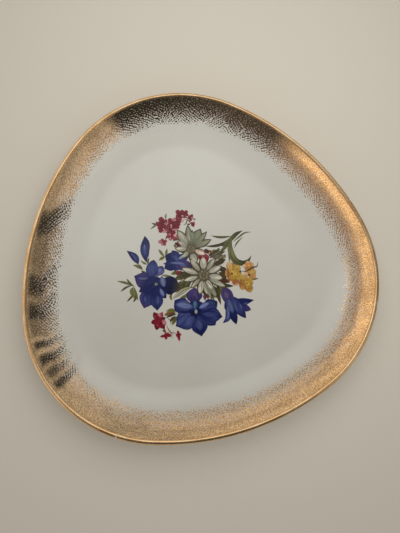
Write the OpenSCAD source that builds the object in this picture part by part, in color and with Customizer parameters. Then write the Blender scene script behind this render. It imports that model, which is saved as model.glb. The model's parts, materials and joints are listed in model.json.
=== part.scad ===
// Rounded triangular coupe plate of glazed porcelain, with a gilt lip line, a stippled gold band
// and an alpine bouquet in coloured enamels on its flat well.
// The origin is on the resting plane, under the middle of the outline's box.
// +Z is up and one corner of the plate points along +Y.

/* [Outline] */
// Radius of the three rounded corners
corner_r = 76; // [70:1:82]
// Radius of the three bowed sides
side_r = 150; // [135:1:180]
// Angle that each side's arc turns through; the corners turn through the rest of the circle
side_sweep = 40; // [30:2:60]

/* [Section] */
// Overall height, from the table to the top of the gilt lip
plate_h = 21; // [19:0.5:24]
// Radius of the curve that lifts the rim, on the face
coupe_r = 39; // [34:1:44]
// Slope of the rim where it meets the lip, in degrees
lip_slope = 50; // [42:1:56]
// Thickness of the wall and the well, with their glaze
wall_t = 3; // [2.6:0.1:3.6]
// Thickness of the glaze film
glaze_t = 0.3; // [0.2:0.05:0.4]

/* [Foot ring] */
// Distance of the foot ring's outer side from the outline, where it leaves the underside
foot_inset = 35.5; // [34:0.5:38]
// Width of the foot ring at its root
foot_root_w = 7.5; // [6:0.5:9]
// Width of the foot ring's resting edge, before its corners are eased
foot_edge_w = 4.4; // [3.6:0.2:5]
// Height of the bare edge that the glaze stops short of
bare_edge_h = 0.6; // [0.4:0.1:1]

/* [Gold] */
// Width of the stippled band, seen from above and measured from the outline
band_w = 20; // [12:1:24]
// Thickness of the gold film
gold_t = 0.12; // [0.08:0.02:0.2]

/* [Bouquet] */
// Thickness of the enamel film
enamel_t = 0.12; // [0.08:0.02:0.2]
// Gap between neighbouring motifs
enamel_gap = 0.1; // [0.06:0.02:0.2]
// Radius that a motif's points are rounded to
enamel_ease = 0.15; // [0.1:0.05:0.2]

/* [Hidden] */
$fn = 180;

// The outline is six tangent arcs: each side's centre lies across the plate, in line with its corners' centres.
corner_sweep = 120 - side_sweep;
corner_reach = (side_r - corner_r) * sin(side_sweep / 2) / sin(60);
side_reach = (side_r - corner_r) * cos(side_sweep / 2) - corner_reach * cos(60);
middle_y = (corner_reach + corner_r - (side_r - side_reach)) / 2;

// Each arc is [centre, radius, first angle, sweep], counter-clockwise from the corner on +Y.
ARCS = [
    for (turn = [90, 210, 330]) each [
        [corner_reach * compass(turn), corner_r, turn - corner_sweep / 2, corner_sweep],
        [-side_reach * compass(turn + 60), side_r, turn + 60 - side_sweep / 2, side_sweep]
    ]
];

// The wall is a band of concentric arcs, which leaves the flat well tangentially and ends in a round lip.
lip_r = wall_t / 2;
lip_reach = coupe_r + lip_r;
wall_w = lip_reach * sin(lip_slope) + lip_r;
coupe_z = plate_h - gold_t - lip_r + lip_reach * cos(lip_slope);
well_z = coupe_z - coupe_r;
underside_z = well_z - wall_t;

// The curves of the section are drawn in steps, and the gold band starts at one of them.
wall_step = lip_slope / 12;
lip_step = 22.5;
band_start = wall_step * round(asin((wall_w - band_w) / coupe_r) / wall_step);

// The foot ring's sides, as distances from the outline: at their roots and at the bare edge.
foot_edge = foot_inset + (foot_root_w - foot_edge_w) / 2;
recess_inset = foot_inset + foot_root_w;
recess_edge = foot_edge + foot_edge_w;
edge_ease = 0.5;

GLAZE = "gainsboro";
GOLD = "goldenrod";
GENTIAN = "midnightblue";
EDELWEISS = "tan";
CRIMSON = "firebrick";
FOLIAGE = "darkolivegreen";

function compass(angle) = [cos(angle), sin(angle)];

// The direction from the coupe's centre to a place on the wall, counted up from straight below it.
function wall_ray(angle) = [sin(angle), -cos(angle)];

// A petal or leaf from its root to its tip: widest in the middle, or nearer the tip where belly is over 1,
// and bowed to its left by bend.
function leaf_points(root, tip, width, bend, belly) =
    let (
        along = tip - root,
        across = [-along.y, along.x] / norm(along),
        steps = 7,
        spine = function(u) root + along * u + across * bend * 4 * u * (1 - u),
        half_w = function(u) width / 2 * sin(180 * pow(u, belly))
    )
    concat(
        [for (i = [0 : steps]) spine(i / steps) + across * half_w(i / steps)],
        [for (i = [steps - 1 : -1 : 1]) spine(i / steps) - across * half_w(i / steps)]
    );

module leaf(root, tip, width, bend = 0, belly = 1) {
    polygon(leaf_points(root, tip, width, bend, belly));
}

// Petals from one root. Each petal is [tip, width], with an optional bend and belly.
module flower(root, petals, throat_r = 0) {
    for (p = petals) leaf(root, p[0], p[1], len(p) > 2 ? p[2] : 0, len(p) > 3 ? p[3] : 1.3);
    if (throat_r > 0) translate(root) circle(r = throat_r, $fn = 24);
}

// Moves to a place in two steps, a round one and its remainder, so that tangent arcs meet exactly.
module exactly_at(place) {
    round_place = [for (v = place) round(v * 100) / 100];
    translate([round_place.x, round_place.y, 0])
    translate([place.x - round_place.x, place.y - round_place.y, 0])
    children();
}

// Carries a section round the outline. In the section, X is minus the distance from the outline,
// and $to_axis is how far it is to the axis of the arc.
module sweep_round() {
    translate([0, -middle_y, 0])
    for (arc = ARCS) {
        $to_axis = -arc[1];
        exactly_at(arc[0])
        rotate_extrude(angle = arc[3], start = arc[2])
        translate([arc[1], 0])
        children();
    }
}

// Points along the wall's section at one radius, from one wall angle to another.
function wall_arc(radius, from, to) =
    let (steps = round(abs(to - from) / wall_step))
    [for (i = [0 : steps]) [-wall_w, coupe_z] + radius * wall_ray(from + (to - from) * i / steps)];

// Points round the lip's section at one radius. Angles run from -90 at the wall's back to 90 at its face.
function lip_arc(radius, from, to) =
    let (
        middle = [-wall_w, coupe_z] + lip_reach * wall_ray(lip_slope),
        steps = abs(to - from) / lip_step
    )
    [for (i = [0 : steps]) middle + radius * compass(lip_slope + from + (to - from) * i / steps)];

module porcelain_body() {
    face = wall_arc(coupe_r + glaze_t, 0, lip_slope - wall_step);
    lip = lip_arc(lip_r - glaze_t, 90, -90);
    back = wall_arc(coupe_r + wall_t - glaze_t, lip_slope - wall_step, 0);
    foot = [
        [-foot_inset - glaze_t, underside_z + glaze_t],
        [-foot_edge - glaze_t, bare_edge_h],
        [-foot_edge - glaze_t - edge_ease, 0],
        [-recess_edge + glaze_t + edge_ease, 0],
        [-recess_edge + glaze_t, bare_edge_h],
        [-recess_inset + glaze_t, underside_z + glaze_t]
    ];
    color("ivory") sweep_round() polygon(concat(
        face, lip, back, foot, [[$to_axis, underside_z + glaze_t], [$to_axis, well_z - glaze_t]]
    ));
}

module glaze_face() {
    outside = wall_arc(coupe_r, 0, lip_slope - wall_step);
    lip = concat(lip_arc(lip_r, 90, 0), lip_arc(lip_r - glaze_t, 0, 90));
    inside = wall_arc(coupe_r + glaze_t, lip_slope - wall_step, 0);
    color(GLAZE) sweep_round() polygon(concat(
        outside, lip, inside, [[$to_axis, well_z - glaze_t], [$to_axis, well_z]]
    ));
}

// The back's glaze runs from the lip down the wall, in under the well and down the foot's outer side.
module glaze_back() {
    inside = wall_arc(coupe_r + wall_t - glaze_t, 0, lip_slope - wall_step);
    lip = concat(lip_arc(lip_r - glaze_t, -90, 0), lip_arc(lip_r, 0, -90));
    outside = wall_arc(coupe_r + wall_t, lip_slope - wall_step, 0);
    foot = [
        [-foot_inset, underside_z],
        [-foot_edge, bare_edge_h],
        [-foot_edge - glaze_t, bare_edge_h],
        [-foot_inset - glaze_t, underside_z + glaze_t]
    ];
    color(GLAZE) sweep_round() polygon(concat(inside, lip, outside, foot));
}

// The glaze inside the foot ring: the underside of the well and the foot's inner side.
module glaze_recess() {
    color(GLAZE) sweep_round() polygon([
        [$to_axis, underside_z],
        [-recess_inset, underside_z],
        [-recess_edge, bare_edge_h],
        [-recess_edge + glaze_t, bare_edge_h],
        [-recess_inset + glaze_t, underside_z + glaze_t],
        [$to_axis, underside_z + glaze_t]
    ]);
}

module gilt_lip_line() {
    color(GOLD) sweep_round() polygon(concat(lip_arc(lip_r, -90, 90), lip_arc(lip_r + gold_t, 90, -90)));
}

module brocade_gold_band() {
    on_glaze = wall_arc(coupe_r, band_start, lip_slope);
    outside = wall_arc(coupe_r - gold_t, lip_slope, band_start);
    color(GOLD) sweep_round() polygon(concat(on_glaze, outside));
}

// A film of enamel on the well: the first shape, less the shapes that are printed over it.
// It is drawn in and let out again, which rounds its points, drops slivers and leaves a fine gap to its neighbours.
module enamel() {
    translate([0, 0, well_z])
    linear_extrude(height = enamel_t)
    offset(r = enamel_ease, $fn = 16)
    offset(delta = -enamel_ease - enamel_gap / 2)
    difference() {
        children(0);
        if ($children > 1) children([1 : $children - 1]);
    }
}

// The open gentian at the front of the bouquet.
module gentian_front_shape() {
    flower([-7.5, -30], [
        [[-19, -20.5], 11, 1], [[-22, -34.5], 12, 0.8], [[-8.5, -44], 9.5],
        [[5.8, -37], 10], [[5.8, -28], 8.5], [[-5, -17], 9, 0, 1.6], [[1.2, -40.3], 5]
    ], throat_r = 6);
}

// The open gentian at the left of the bouquet.
module gentian_left_shape() {
    flower([-28, -8], [
        [[-37, 0.3], 9, 0, 1.5], [[-37, -18.6], 10, 0, 1.5], [[-29, -22.2], 8],
        [[-23.5, 6.6], 8, 0, 1.6], [[-13.5, -13.5], 11], [[-18.3, 0], 6], [[-22, -17.2], 6]
    ], throat_r = 6);
}

// The gentian seen from its side: a tube that flares into five lobes.
module gentian_bell_shape() {
    leaf([12, -21], [12.6, -38], 7.5, 0.4, 1.3);
    flower([13.5, -29], [
        [[13, -44], 6.5, 0, 1.6], [[19.8, -42], 6.5, 0.4, 1.4], [[6, -41.2], 5, -1.6],
        [[23.4, -38.4], 5.5, 0.6, 1.4], [[27, -34], 5.5, 0.6]
    ], throat_r = 3.4);
}

module gentian_back_shape() {
    flower([-9, 1.5], [
        [[-15.8, 6.2], 5.5, 0, 1.6], [[-10, 8.5], 5.5], [[-4.8, 5], 4], [[-3, 2], 3.6],
        [[-2.4, -4.4], 4.5], [[-17.6, 0], 6], [[-10, -4.5], 7]
    ], throat_r = 3.6);
}

module gentian_buds_shape() {
    leaf([-27.8, 6.8], [-24, 21.8], 5.6, 0.6, 0.9);
    leaf([-32.4, 6.4], [-36.4, 16.4], 3.8, -0.9, 0.9);
}

// Woolly bracts round a cluster of florets.
module edelweiss_large_shape() {
    flower([3, -11], [
        [[4.8, -0.6], 5], [[-0.8, -1.5], 4], [[-8, -3.6], 4], [[-8.6, -11.2], 4], [[-5.6, -15.4], 3.2],
        [[-2, -20.4], 4], [[1.6, -21], 3.4], [[5.4, -23], 4], [[12.6, -20.4], 4],
        [[13, -15], 4.4], [[14.4, -9], 4.4], [[12, -3.8], 4]
    ], throat_r = 4.6);
}

module edelweiss_small_shape() {
    flower([0.5, 6.8], [
        [[1.4, 20.4], 4], [[-3.4, 19], 4], [[-5.6, 13], 4], [[-6.5, 8.6], 3.4], [[-5.4, 3.6], 3.4],
        [[-1, -1.8], 4], [[6.6, 2], 4], [[8.6, 16], 6], [[12, 13.6], 5], [[12.8, 8.6], 4.4], [[5, 16.4], 4]
    ], throat_r = 3.6);
}

module rose_blossom(place, radius, turn, petals = 5) {
    flower(place, [
        for (i = [0 : petals - 1]) [place + radius * compass(turn + i * 360 / petals), radius]
    ], throat_r = radius * 0.4);
}

module alpine_rose_upper_shape() {
    rose_blossom([0.6, 28.2], 3.7, 20);
    rose_blossom([-12, 25.6], 4.2, 70);
    rose_blossom([-6.4, 24], 4, 10);
    rose_blossom([-2.6, 25.2], 3, 40);
    rose_blossom([-8.8, 19.2], 4, 160);
    rose_blossom([6, 25], 2.4, 80);
    rose_blossom([6, 21.2], 2, 30);
    rose_blossom([-14.6, 15.6], 2.4, 130);
    rose_blossom([-6, 11.6], 2, 50);
}

module alpine_rose_lower_shape() {
    rose_blossom([-30.6, -28.6], 5, 100);
    rose_blossom([-27.6, -25.6], 2.6, 60);
    rose_blossom([-28, -38.4], 3, 200);
    rose_blossom([-21.4, -40.4], 2.8, 80);
    leaf([-28.4, -29], [-27.4, -39], 1.4, 0.6);
    leaf([-28.4, -29], [-21.6, -40], 1, 1.2);
}

module yellow_flowers_shape() {
    flower([20.4, -14.6], [
        [[20.4, -8], 5], [[25, -12], 4.6], [[24.6, -18.4], 4.6], [[19.6, -21.6], 5], [[15.4, -13.6], 5]
    ], throat_r = 3.4);
    flower([26.2, -22.4], [
        [[27.8, -17.4], 4], [[30.6, -20.6], 4], [[27.4, -28], 4.4], [[22.6, -25.4], 4.4], [[22.4, -20.4], 4]
    ], throat_r = 2.4);
    flower([30.4, -17.6], [[[33.6, -16], 3.4], [[32.6, -20], 3.4], [[28, -16], 3]], throat_r = 1.6);
    flower([30.6, -12.6], [[[30.8, -9.8], 3], [[33.6, -13.4], 3], [[27.8, -13], 3]], throat_r = 1.4);
}

module grass_blades_shape() {
    leaf([26.5, 6.6], [14.2, 11], 1.6, -0.9);
    leaf([12, 5], [33.8, 8.4], 2.4, -2);
    leaf([24.5, 3.4], [38.6, 6.2], 1.3, 1.5);
    leaf([24, -0.5], [32.8, 4.8], 1, 0.4);
    leaf([24.8, 8], [24.6, -11.6], 5, -1.4);
    leaf([22.6, -9], [34, -7.6], 2.6, -2.2);
    leaf([25, 7], [15, 0], 2.6, 0.6);
    leaf([24, -14.4], [36.4, -12.4], 1.2, -1.4);
}

// Leaves and stalks behind the flowers.
module leaf_sprigs_shape() {
    leaf([-37.5, -6], [-46.8, 0.6], 2, -0.7);
    leaf([-38, -5], [-41.4, 0.6], 1.8, 0.5);
    leaf([-38.6, -5.2], [-46.4, -5.7], 1.7, 0.6);
    leaf([-38.4, -12.8], [-38, -5], 3, 0.5);
    leaf([-38.6, -10], [-44.8, -12.6], 1.7, 0.4);
    leaf([-38.8, -10], [-41, -14], 1.6, 0.3);
    leaf([-30, -1], [-35.4, 7.6], 2.2, -0.6);
    leaf([-30, -1], [-30.6, 8.4], 2, 0.8);
    leaf([-30, 1], [-24.4, 9], 2, -0.8);
    leaf([-16, 5.6], [-18.2, 12], 2.2, 0.3);
    leaf([-16, 5.6], [-13.4, 11], 2, -0.3);
    leaf([-14.6, 5.4], [-19.8, 5.2], 2.4);
    leaf([-13, 27], [-19.4, 25], 1.4, 0.3);
    leaf([-13, 27], [-17.8, 28.6], 1.6);
    leaf([-9, 27], [-7.6, 31.8], 1.4);
    leaf([-5, -8], [-21.6, -2.4], 3, -0.8);
    leaf([-3, -10], [-15, -8], 5);
    leaf([-3, -12], [-16, -15.4], 5);
    leaf([-4, -15], [-19, -19], 3.6, 0.4);
    leaf([8, -9], [20, 3], 5);
    leaf([8, -6], [19, -5], 6);
    leaf([8, -3], [12, 5], 5);
    leaf([8, -12], [16.6, -19], 6);
    leaf([8, -16], [18.4, -22.2], 3.4, 0.6);
    leaf([6, -16], [7.6, -30.4], 3.2, -0.4);
    leaf([3, -16], [4.4, -26.4], 4);
    leaf([10, -16], [11, -25], 3);
    leaf([-19, -28], [-24.4, -24.6], 2.6, -0.4);
    leaf([-19, -28], [-23, -33], 3, 0.4);
    leaf([-19, -28], [-26, -28.6], 2.4);
}

module gentian_front() {
    color(GENTIAN) enamel() gentian_front_shape();
}

module edelweiss_large() {
    color(EDELWEISS) enamel() {
        edelweiss_large_shape();
        gentian_front_shape();
    }
}

module gentian_left() {
    color(GENTIAN) enamel() {
        gentian_left_shape();
        gentian_front_shape();
        edelweiss_large_shape();
    }
}

module edelweiss_small() {
    color(EDELWEISS) enamel() {
        edelweiss_small_shape();
        edelweiss_large_shape();
    }
}

module gentian_bell() {
    color(GENTIAN) enamel() {
        gentian_bell_shape();
        gentian_front_shape();
        edelweiss_large_shape();
    }
}

module gentian_back() {
    color(GENTIAN) enamel() {
        gentian_back_shape();
        edelweiss_large_shape();
        edelweiss_small_shape();
        gentian_left_shape();
    }
}

module gentian_buds() {
    color(GENTIAN) enamel() {
        gentian_buds_shape();
        gentian_left_shape();
    }
}

module alpine_rose_upper() {
    color(CRIMSON) enamel() {
        alpine_rose_upper_shape();
        edelweiss_small_shape();
    }
}

module alpine_rose_lower() {
    color(CRIMSON) enamel() {
        alpine_rose_lower_shape();
        gentian_front_shape();
        gentian_left_shape();
    }
}

module yellow_flowers() {
    color("gold") enamel() {
        yellow_flowers_shape();
        edelweiss_large_shape();
    }
}

module grass_blades() {
    color(FOLIAGE) enamel() {
        grass_blades_shape();
        edelweiss_large_shape();
        edelweiss_small_shape();
        yellow_flowers_shape();
    }
}

module leaf_sprigs() {
    color(FOLIAGE) enamel() {
        leaf_sprigs_shape();
        gentian_front_shape();
        gentian_left_shape();
        gentian_bell_shape();
        gentian_back_shape();
        gentian_buds_shape();
        edelweiss_large_shape();
        edelweiss_small_shape();
        alpine_rose_upper_shape();
        alpine_rose_lower_shape();
        yellow_flowers_shape();
        grass_blades_shape();
    }
}

porcelain_body();
glaze_face();
glaze_back();
glaze_recess();
gilt_lip_line();
brocade_gold_band();
gentian_front();
gentian_left();
gentian_bell();
gentian_back();
gentian_buds();
edelweiss_large();
edelweiss_small();
alpine_rose_upper();
alpine_rose_lower();
yellow_flowers();
grass_blades();
leaf_sprigs();
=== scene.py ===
# Rounded triangular coupe plate of glazed porcelain: gilt lip, stippled gold band and an alpine bouquet.
# Every position is in metres, in the frame of the CAD model.
import json
import math
import bpy
from mathutils import Matrix, Vector

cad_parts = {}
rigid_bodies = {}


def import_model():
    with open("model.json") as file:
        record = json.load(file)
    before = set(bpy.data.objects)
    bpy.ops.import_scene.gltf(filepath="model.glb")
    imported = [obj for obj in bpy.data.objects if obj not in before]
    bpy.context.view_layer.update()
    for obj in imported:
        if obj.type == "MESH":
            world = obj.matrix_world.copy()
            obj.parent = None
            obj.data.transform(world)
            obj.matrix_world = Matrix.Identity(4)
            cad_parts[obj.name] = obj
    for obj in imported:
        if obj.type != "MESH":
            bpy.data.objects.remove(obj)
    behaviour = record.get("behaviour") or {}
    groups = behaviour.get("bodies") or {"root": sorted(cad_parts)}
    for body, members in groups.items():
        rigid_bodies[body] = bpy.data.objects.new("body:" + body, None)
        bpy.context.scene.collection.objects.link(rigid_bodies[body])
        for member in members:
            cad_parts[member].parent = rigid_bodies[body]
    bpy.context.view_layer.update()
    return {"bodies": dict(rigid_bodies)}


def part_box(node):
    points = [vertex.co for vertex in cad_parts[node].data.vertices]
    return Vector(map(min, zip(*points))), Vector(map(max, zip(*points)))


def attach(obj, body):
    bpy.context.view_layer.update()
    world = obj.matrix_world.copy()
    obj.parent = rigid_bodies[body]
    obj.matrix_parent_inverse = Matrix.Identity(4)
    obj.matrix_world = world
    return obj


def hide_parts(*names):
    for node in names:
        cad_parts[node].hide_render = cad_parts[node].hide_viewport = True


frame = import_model()
MM = 0.001

# The outline and the section, as the CAD model has them.
CORNER_R = 76 * MM
SIDE_R = 150 * MM
SIDE_SWEEP = math.radians(40)
COUPE_R = 39 * MM
LIP_SLOPE = math.radians(50)
WALL_T = 3 * MM
GLAZE_T = 0.3 * MM
GOLD_T = 0.12 * MM
FOOT_INSET = 35.5 * MM
FOOT_ROOT_W = 7.5 * MM
FOOT_EDGE_W = 4.4 * MM
BARE_EDGE_H = 0.6 * MM
BAND_W = 21.3 * MM

WELL_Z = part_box("gentian_front")[0].z
LIP_R = WALL_T / 2
LIP_REACH = COUPE_R + LIP_R
WALL_W = LIP_REACH * math.sin(LIP_SLOPE) + LIP_R
COUPE_Z = WELL_Z + COUPE_R
UNDERSIDE_Z = WELL_Z - WALL_T
FOOT_EDGE = FOOT_INSET + (FOOT_ROOT_W - FOOT_EDGE_W) / 2
RECESS_EDGE = FOOT_EDGE + FOOT_EDGE_W
RECESS_INSET = FOOT_INSET + FOOT_ROOT_W

# Hidden faces are drawn back by this much, so that no two faces share a place.
TUCK = 0.02 * MM
# Samples round each of the outline's six arcs, along the wall's curve and round the lip.
ARC_STEPS = 64
WALL_STEPS = 28
LIP_STEPS = 14
# Meshes are shaded smooth where their faces meet at less than this.
SHARP_ANGLE = math.radians(40)
GLAZE_IOR = 1.52
ENAMEL_IOR = 1.4
# Where the lip line's crest is, along its section from its outer edge.
CREST_RUN = 2.5 * MM
# The brocade's dashes: their pitch along a row and from row to row, and the rows' two leans.
DASH_PITCH_MM = 1.55
ROW_PITCH_MM = 1.2
ROW_LEANS = (math.radians(34), math.radians(-24))
# The glaze's fillet at the foot's root reaches this far out.
FILLET_W = 0.7 * MM
FLOOR_HALF = 6.0
FLOOR_DROP = 0.05 * MM


def direction(angle):
    return Vector((math.cos(angle), math.sin(angle)))


def outline_arcs():
    """The outline's six tangent arcs, as centre, radius, first angle and sweep."""
    corner_sweep = math.radians(120) - SIDE_SWEEP
    gap = SIDE_R - CORNER_R
    corner_reach = gap * math.sin(SIDE_SWEEP / 2) / math.sin(math.radians(60))
    side_reach = gap * math.cos(SIDE_SWEEP / 2) - corner_reach / 2
    middle = Vector((0, (corner_reach + CORNER_R - SIDE_R + side_reach) / 2))
    arcs = []
    for turn in (math.radians(a) for a in (90, 210, 330)):
        corner = direction(turn) * corner_reach - middle
        arcs.append((corner, CORNER_R, turn - corner_sweep / 2, corner_sweep))
        across = turn + math.radians(60)
        side = -direction(across) * side_reach - middle
        arcs.append((side, SIDE_R, across - SIDE_SWEEP / 2, SIDE_SWEEP))
    return arcs


ARCS = outline_arcs()


# ---------------------------------------------------------------- camera, floor, light

# The folds of the dark curtain: azimuth and half width in degrees, and how dark.
CURTAIN_FOLDS = [
    (-22, 2.6, 1.0), (-16.2, 2.9, 0.62), (-11, 1.9, 1.0), (-6.6, 1.8, 1.0), (-0.5, 4.6, 0.66),
    (8, 1.9, 1.0), (14.8, 2.2, 1.0), (20.8, 1.9, 0.85), (26.8, 1.9, 1.0)
]


def photo_camera():
    """Looks down into the plate, a little from the front, as the photograph does."""
    place = Vector((-17.2, -38.3, 260.1)) * MM
    target = Vector((3.0, -4.3, 0)) * MM
    up_turn = math.radians(73)
    data = bpy.data.cameras.new("photo_camera")
    data.lens = 29
    data.sensor_width = 36
    data.clip_start = 0.01
    camera = bpy.data.objects.new("photo_camera", data)
    back = (place - target).normalized()
    right = Vector((*direction(up_turn), 0)).cross(back).normalized()
    up = back.cross(right)
    turn = Matrix((right, up, back)).transposed()
    camera.matrix_world = Matrix.Translation(place) @ turn.to_4x4()
    bpy.context.scene.collection.objects.link(camera)
    bpy.context.scene.camera = camera


class Wiring:
    """Adds nodes to one material or world, and joins them."""

    def __init__(self, tree):
        self.tree = tree
        tree.nodes.clear()

    def feed(self, socket, value):
        if isinstance(value, bpy.types.NodeSocket):
            self.tree.links.new(value, socket)
        else:
            socket.default_value = value

    def add(self, kind, inputs=None, **settings):
        node = self.tree.nodes.new(kind)
        for name, value in settings.items():
            setattr(node, name, value)
        for name, value in (inputs or {}).items():
            self.feed(node.inputs[name], value)
        return node

    def math(self, operation, *values):
        inputs = dict(enumerate(values))
        return self.add("ShaderNodeMath", inputs, operation=operation).outputs[0]

    def scaled(self, value, by):
        inputs = {0: value, 3: by}
        return self.add("ShaderNodeVectorMath", inputs, operation="SCALE").outputs[0]

    def split(self, value):
        return self.add("ShaderNodeSeparateXYZ", {0: value}).outputs

    def join(self, x, y, z):
        return self.add("ShaderNodeCombineXYZ", {0: x, 1: y, 2: z}).outputs[0]

    def step(self, value, low, high, to_low=0.0, to_high=1.0):
        """Rises smoothly from to_low to to_high as the value goes from low to high."""
        inputs = {0: value, 1: low, 2: high, 3: to_low, 4: to_high}
        node = self.add("ShaderNodeMapRange", inputs, interpolation_type="SMOOTHSTEP")
        return node.outputs[0]

    def mix(self, factor, a, b):
        """Mixes two colours."""
        node = self.add("ShaderNodeMix", {0: factor, 6: a, 7: b}, data_type="RGBA")
        return node.outputs[2]

    def noise(self, vector, scale, detail=2.0, roughness=0.5):
        inputs = {"Vector": vector, "Scale": scale, "Detail": detail, "Roughness": roughness}
        return self.add("ShaderNodeTexNoise", inputs).outputs["Fac"]

    def place(self):
        return self.add("ShaderNodeTexCoord").outputs["Object"]

    def attribute(self, name):
        return self.add("ShaderNodeAttribute", attribute_name=name)


def rgb(red, green, blue):
    """A colour given as on a screen, 0 to 255, in linear light."""
    def linear(value):
        v = value / 255
        return v / 12.92 if v <= 0.04045 else ((v + 0.055) / 1.055) ** 2.4
    return (linear(red), linear(green), linear(blue), 1.0)


def studio_world():
    """A soft, bright studio whose dark end is in front of the plate, with the folds of a dark curtain on its
    right. The gold mirrors both. The camera itself sees a plain pale backdrop."""
    world = bpy.data.worlds.new("studio")
    bpy.context.scene.world = world
    world.use_nodes = True
    w = Wiring(world.node_tree)
    ray = w.add("ShaderNodeTexCoord").outputs["Generated"]
    x, y, z = w.split(ray)
    azimuth = w.math("DEGREES", w.math("ARCTAN2", y, x))
    zenith = w.math("DEGREES", w.math("ARCCOSINE", z))
    wobble = w.math("MULTIPLY", w.math("SUBTRACT", w.noise(ray, 2.5), 0.5), 5.0)

    def patch(middle, half_width, soft, wander=0.0):
        """1 where the azimuth is within half_width of the middle, falling to 0 over twice soft."""
        turned = w.math("SUBTRACT", azimuth, w.math("SUBTRACT", middle, wander))
        gap = w.math("ABSOLUTE", w.math("WRAP", turned, 180.0, -180.0))
        return w.step(gap, half_width + soft, half_width - soft)

    dark_end = patch(middle=-107.0, half_width=45.0, soft=5.0)
    folds = 0.0
    for middle, half_width, depth in CURTAIN_FOLDS:
        fold = w.math("MULTIPLY", patch(middle, half_width, 0.5, wobble), depth)
        folds = w.math("MAXIMUM", folds, fold)
    dark_end = w.math("MULTIPLY", dark_end, w.step(zenith, 14.0, 24.0))
    folds = w.math("MULTIPLY", folds, w.step(zenith, 9.0, 17.0))
    dark = w.math("MULTIPLY", w.step(zenith, 84.0, 74.0), w.math("MAXIMUM", dark_end, folds))
    side = w.mix(w.step(x, -0.9, 0.5), (0.98, 0.85, 0.68, 1), (0.44, 0.45, 0.45, 1))
    low = w.mix(w.step(x, -0.9, 0.3), (0.38, 0.34, 0.34, 1), (0.56, 0.53, 0.47, 1))
    side = w.mix(w.step(zenith, 46.0, 67.0), low, side)
    clutter = w.step(w.noise(ray, 5.0, 2.0), 0.36, 0.64, 0.82, 1.15)
    side = w.mix(1.0, side, w.scaled(side, clutter))
    skylight = w.math("MULTIPLY", w.step(y, 0.04, 0.30), w.step(zenith, 44.0, 26.0))
    mirrored = w.mix(w.step(zenith, 6.0, 28.0), (0.14, 0.13, 0.12, 1), side)
    mirrored = w.mix(skylight, mirrored, (1.4, 1.43, 1.45, 1))
    gloom = w.mix(w.step(azimuth, -155.0, -85.0), (0.078, 0.086, 0.100, 1), (0.028, 0.038, 0.048, 1))
    mirrored = w.mix(dark, mirrored, gloom)
    soft = w.mix(w.step(y, -0.8, 0.8), (0.565, 0.555, 0.52, 1), (0.11, 0.10, 0.075, 1))
    path = w.add("ShaderNodeLightPath").outputs
    lit = w.mix(path["Is Glossy Ray"], soft, mirrored)
    lit = w.add("ShaderNodeBackground", {"Color": lit}).outputs[0]
    backdrop = w.add("ShaderNodeBackground", {"Color": (0.62, 0.60, 0.57, 1)}).outputs[0]
    shown = w.add("ShaderNodeMixShader", {0: path["Is Camera Ray"], 1: lit, 2: backdrop}).outputs[0]
    w.add("ShaderNodeOutputWorld", {"Surface": shown})


def soft_light(name, place, size, power, colour):
    """A large square lamp aimed at the plate."""
    data = bpy.data.lights.new(name, "AREA")
    data.shape = "SQUARE"
    data.size = size
    data.energy = power
    data.color = colour
    lamp = bpy.data.objects.new(name, data)
    lamp.location = place
    lamp.rotation_mode = "QUATERNION"
    lamp.rotation_quaternion = Vector(place).to_track_quat("Z", "Y")
    lamp.visible_glossy = False
    bpy.context.scene.collection.objects.link(lamp)


def floor():
    """A plain pale floor, just under the foot ring's resting edge so that the two don't share a plane."""
    half, z = FLOOR_HALF, -FLOOR_DROP
    mesh = bpy.data.meshes.new("floor")
    corners = [(-half, -half, z), (half, -half, z), (half, half, z), (-half, half, z)]
    mesh.from_pydata(corners, [], [(0, 1, 2, 3)])
    obj = bpy.data.objects.new("floor", mesh)
    bpy.context.scene.collection.objects.link(obj)
    paint, m = material("floor")
    shade = m.noise(m.place(), 2.5, 3.0)
    colour = m.mix(shade, rgb(232, 224, 211), rgb(238, 231, 220))
    finish(m, colour, roughness=m.step(shade, 0.3, 0.7, 0.62, 0.7))
    mesh.materials.append(paint)


# ---------------------------------------------------------------- materials

def finish(m, colour, metallic=0.0, roughness=0.5, normal=None, **fixed):
    """The material's one shader. Keywords name its other sockets, which are the same all over."""
    inputs = {"Base Color": colour, "Metallic": metallic, "Roughness": roughness}
    shader = m.add("ShaderNodeBsdfPrincipled", inputs)
    if normal is not None:
        m.feed(shader.inputs["Normal"], normal)
    for name, value in fixed.items():
        shader.inputs[name.replace("_", " ")].default_value = value
    m.add("ShaderNodeOutputMaterial", {"Surface": shader.outputs[0]})


def bump(m, height, distance, strength=1.0):
    inputs = {"Height": height, "Distance": distance, "Strength": strength}
    return m.add("ShaderNodeBump", inputs).outputs[0]


def material(name):
    made = bpy.data.materials.new(name)
    made.use_nodes = True
    return made, Wiring(made.node_tree)


def glaze_colour(m, place):
    """Warm white porcelain under clear glaze: soft clouds, and a few fine dark specks from the firing."""
    cloud = m.noise(place, 14.0, 3.0)
    white = m.mix(m.step(cloud, 0.3, 0.7), rgb(216, 213, 205), rgb(221, 219, 213))
    cells = m.add("ShaderNodeTexVoronoi", {"Vector": place, "Scale": 55.0})
    grain = m.step(cells.outputs["Distance"], 0.035, 0.015)
    chosen = m.step(m.split(cells.outputs["Color"])[0], 0.93, 0.95)
    return m.mix(m.math("MULTIPLY", grain, chosen), white, rgb(150, 138, 120))


def glaze_ripple(m, place):
    """The slight unevenness of a poured and fired glaze, in metres of height."""
    slow = m.noise(place, 38.0, 2.0)
    fine = m.noise(place, 420.0, 1.0)
    return m.math("ADD", m.math("MULTIPLY", slow, 0.000045), m.math("MULTIPLY", fine, 0.0000016))


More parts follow.
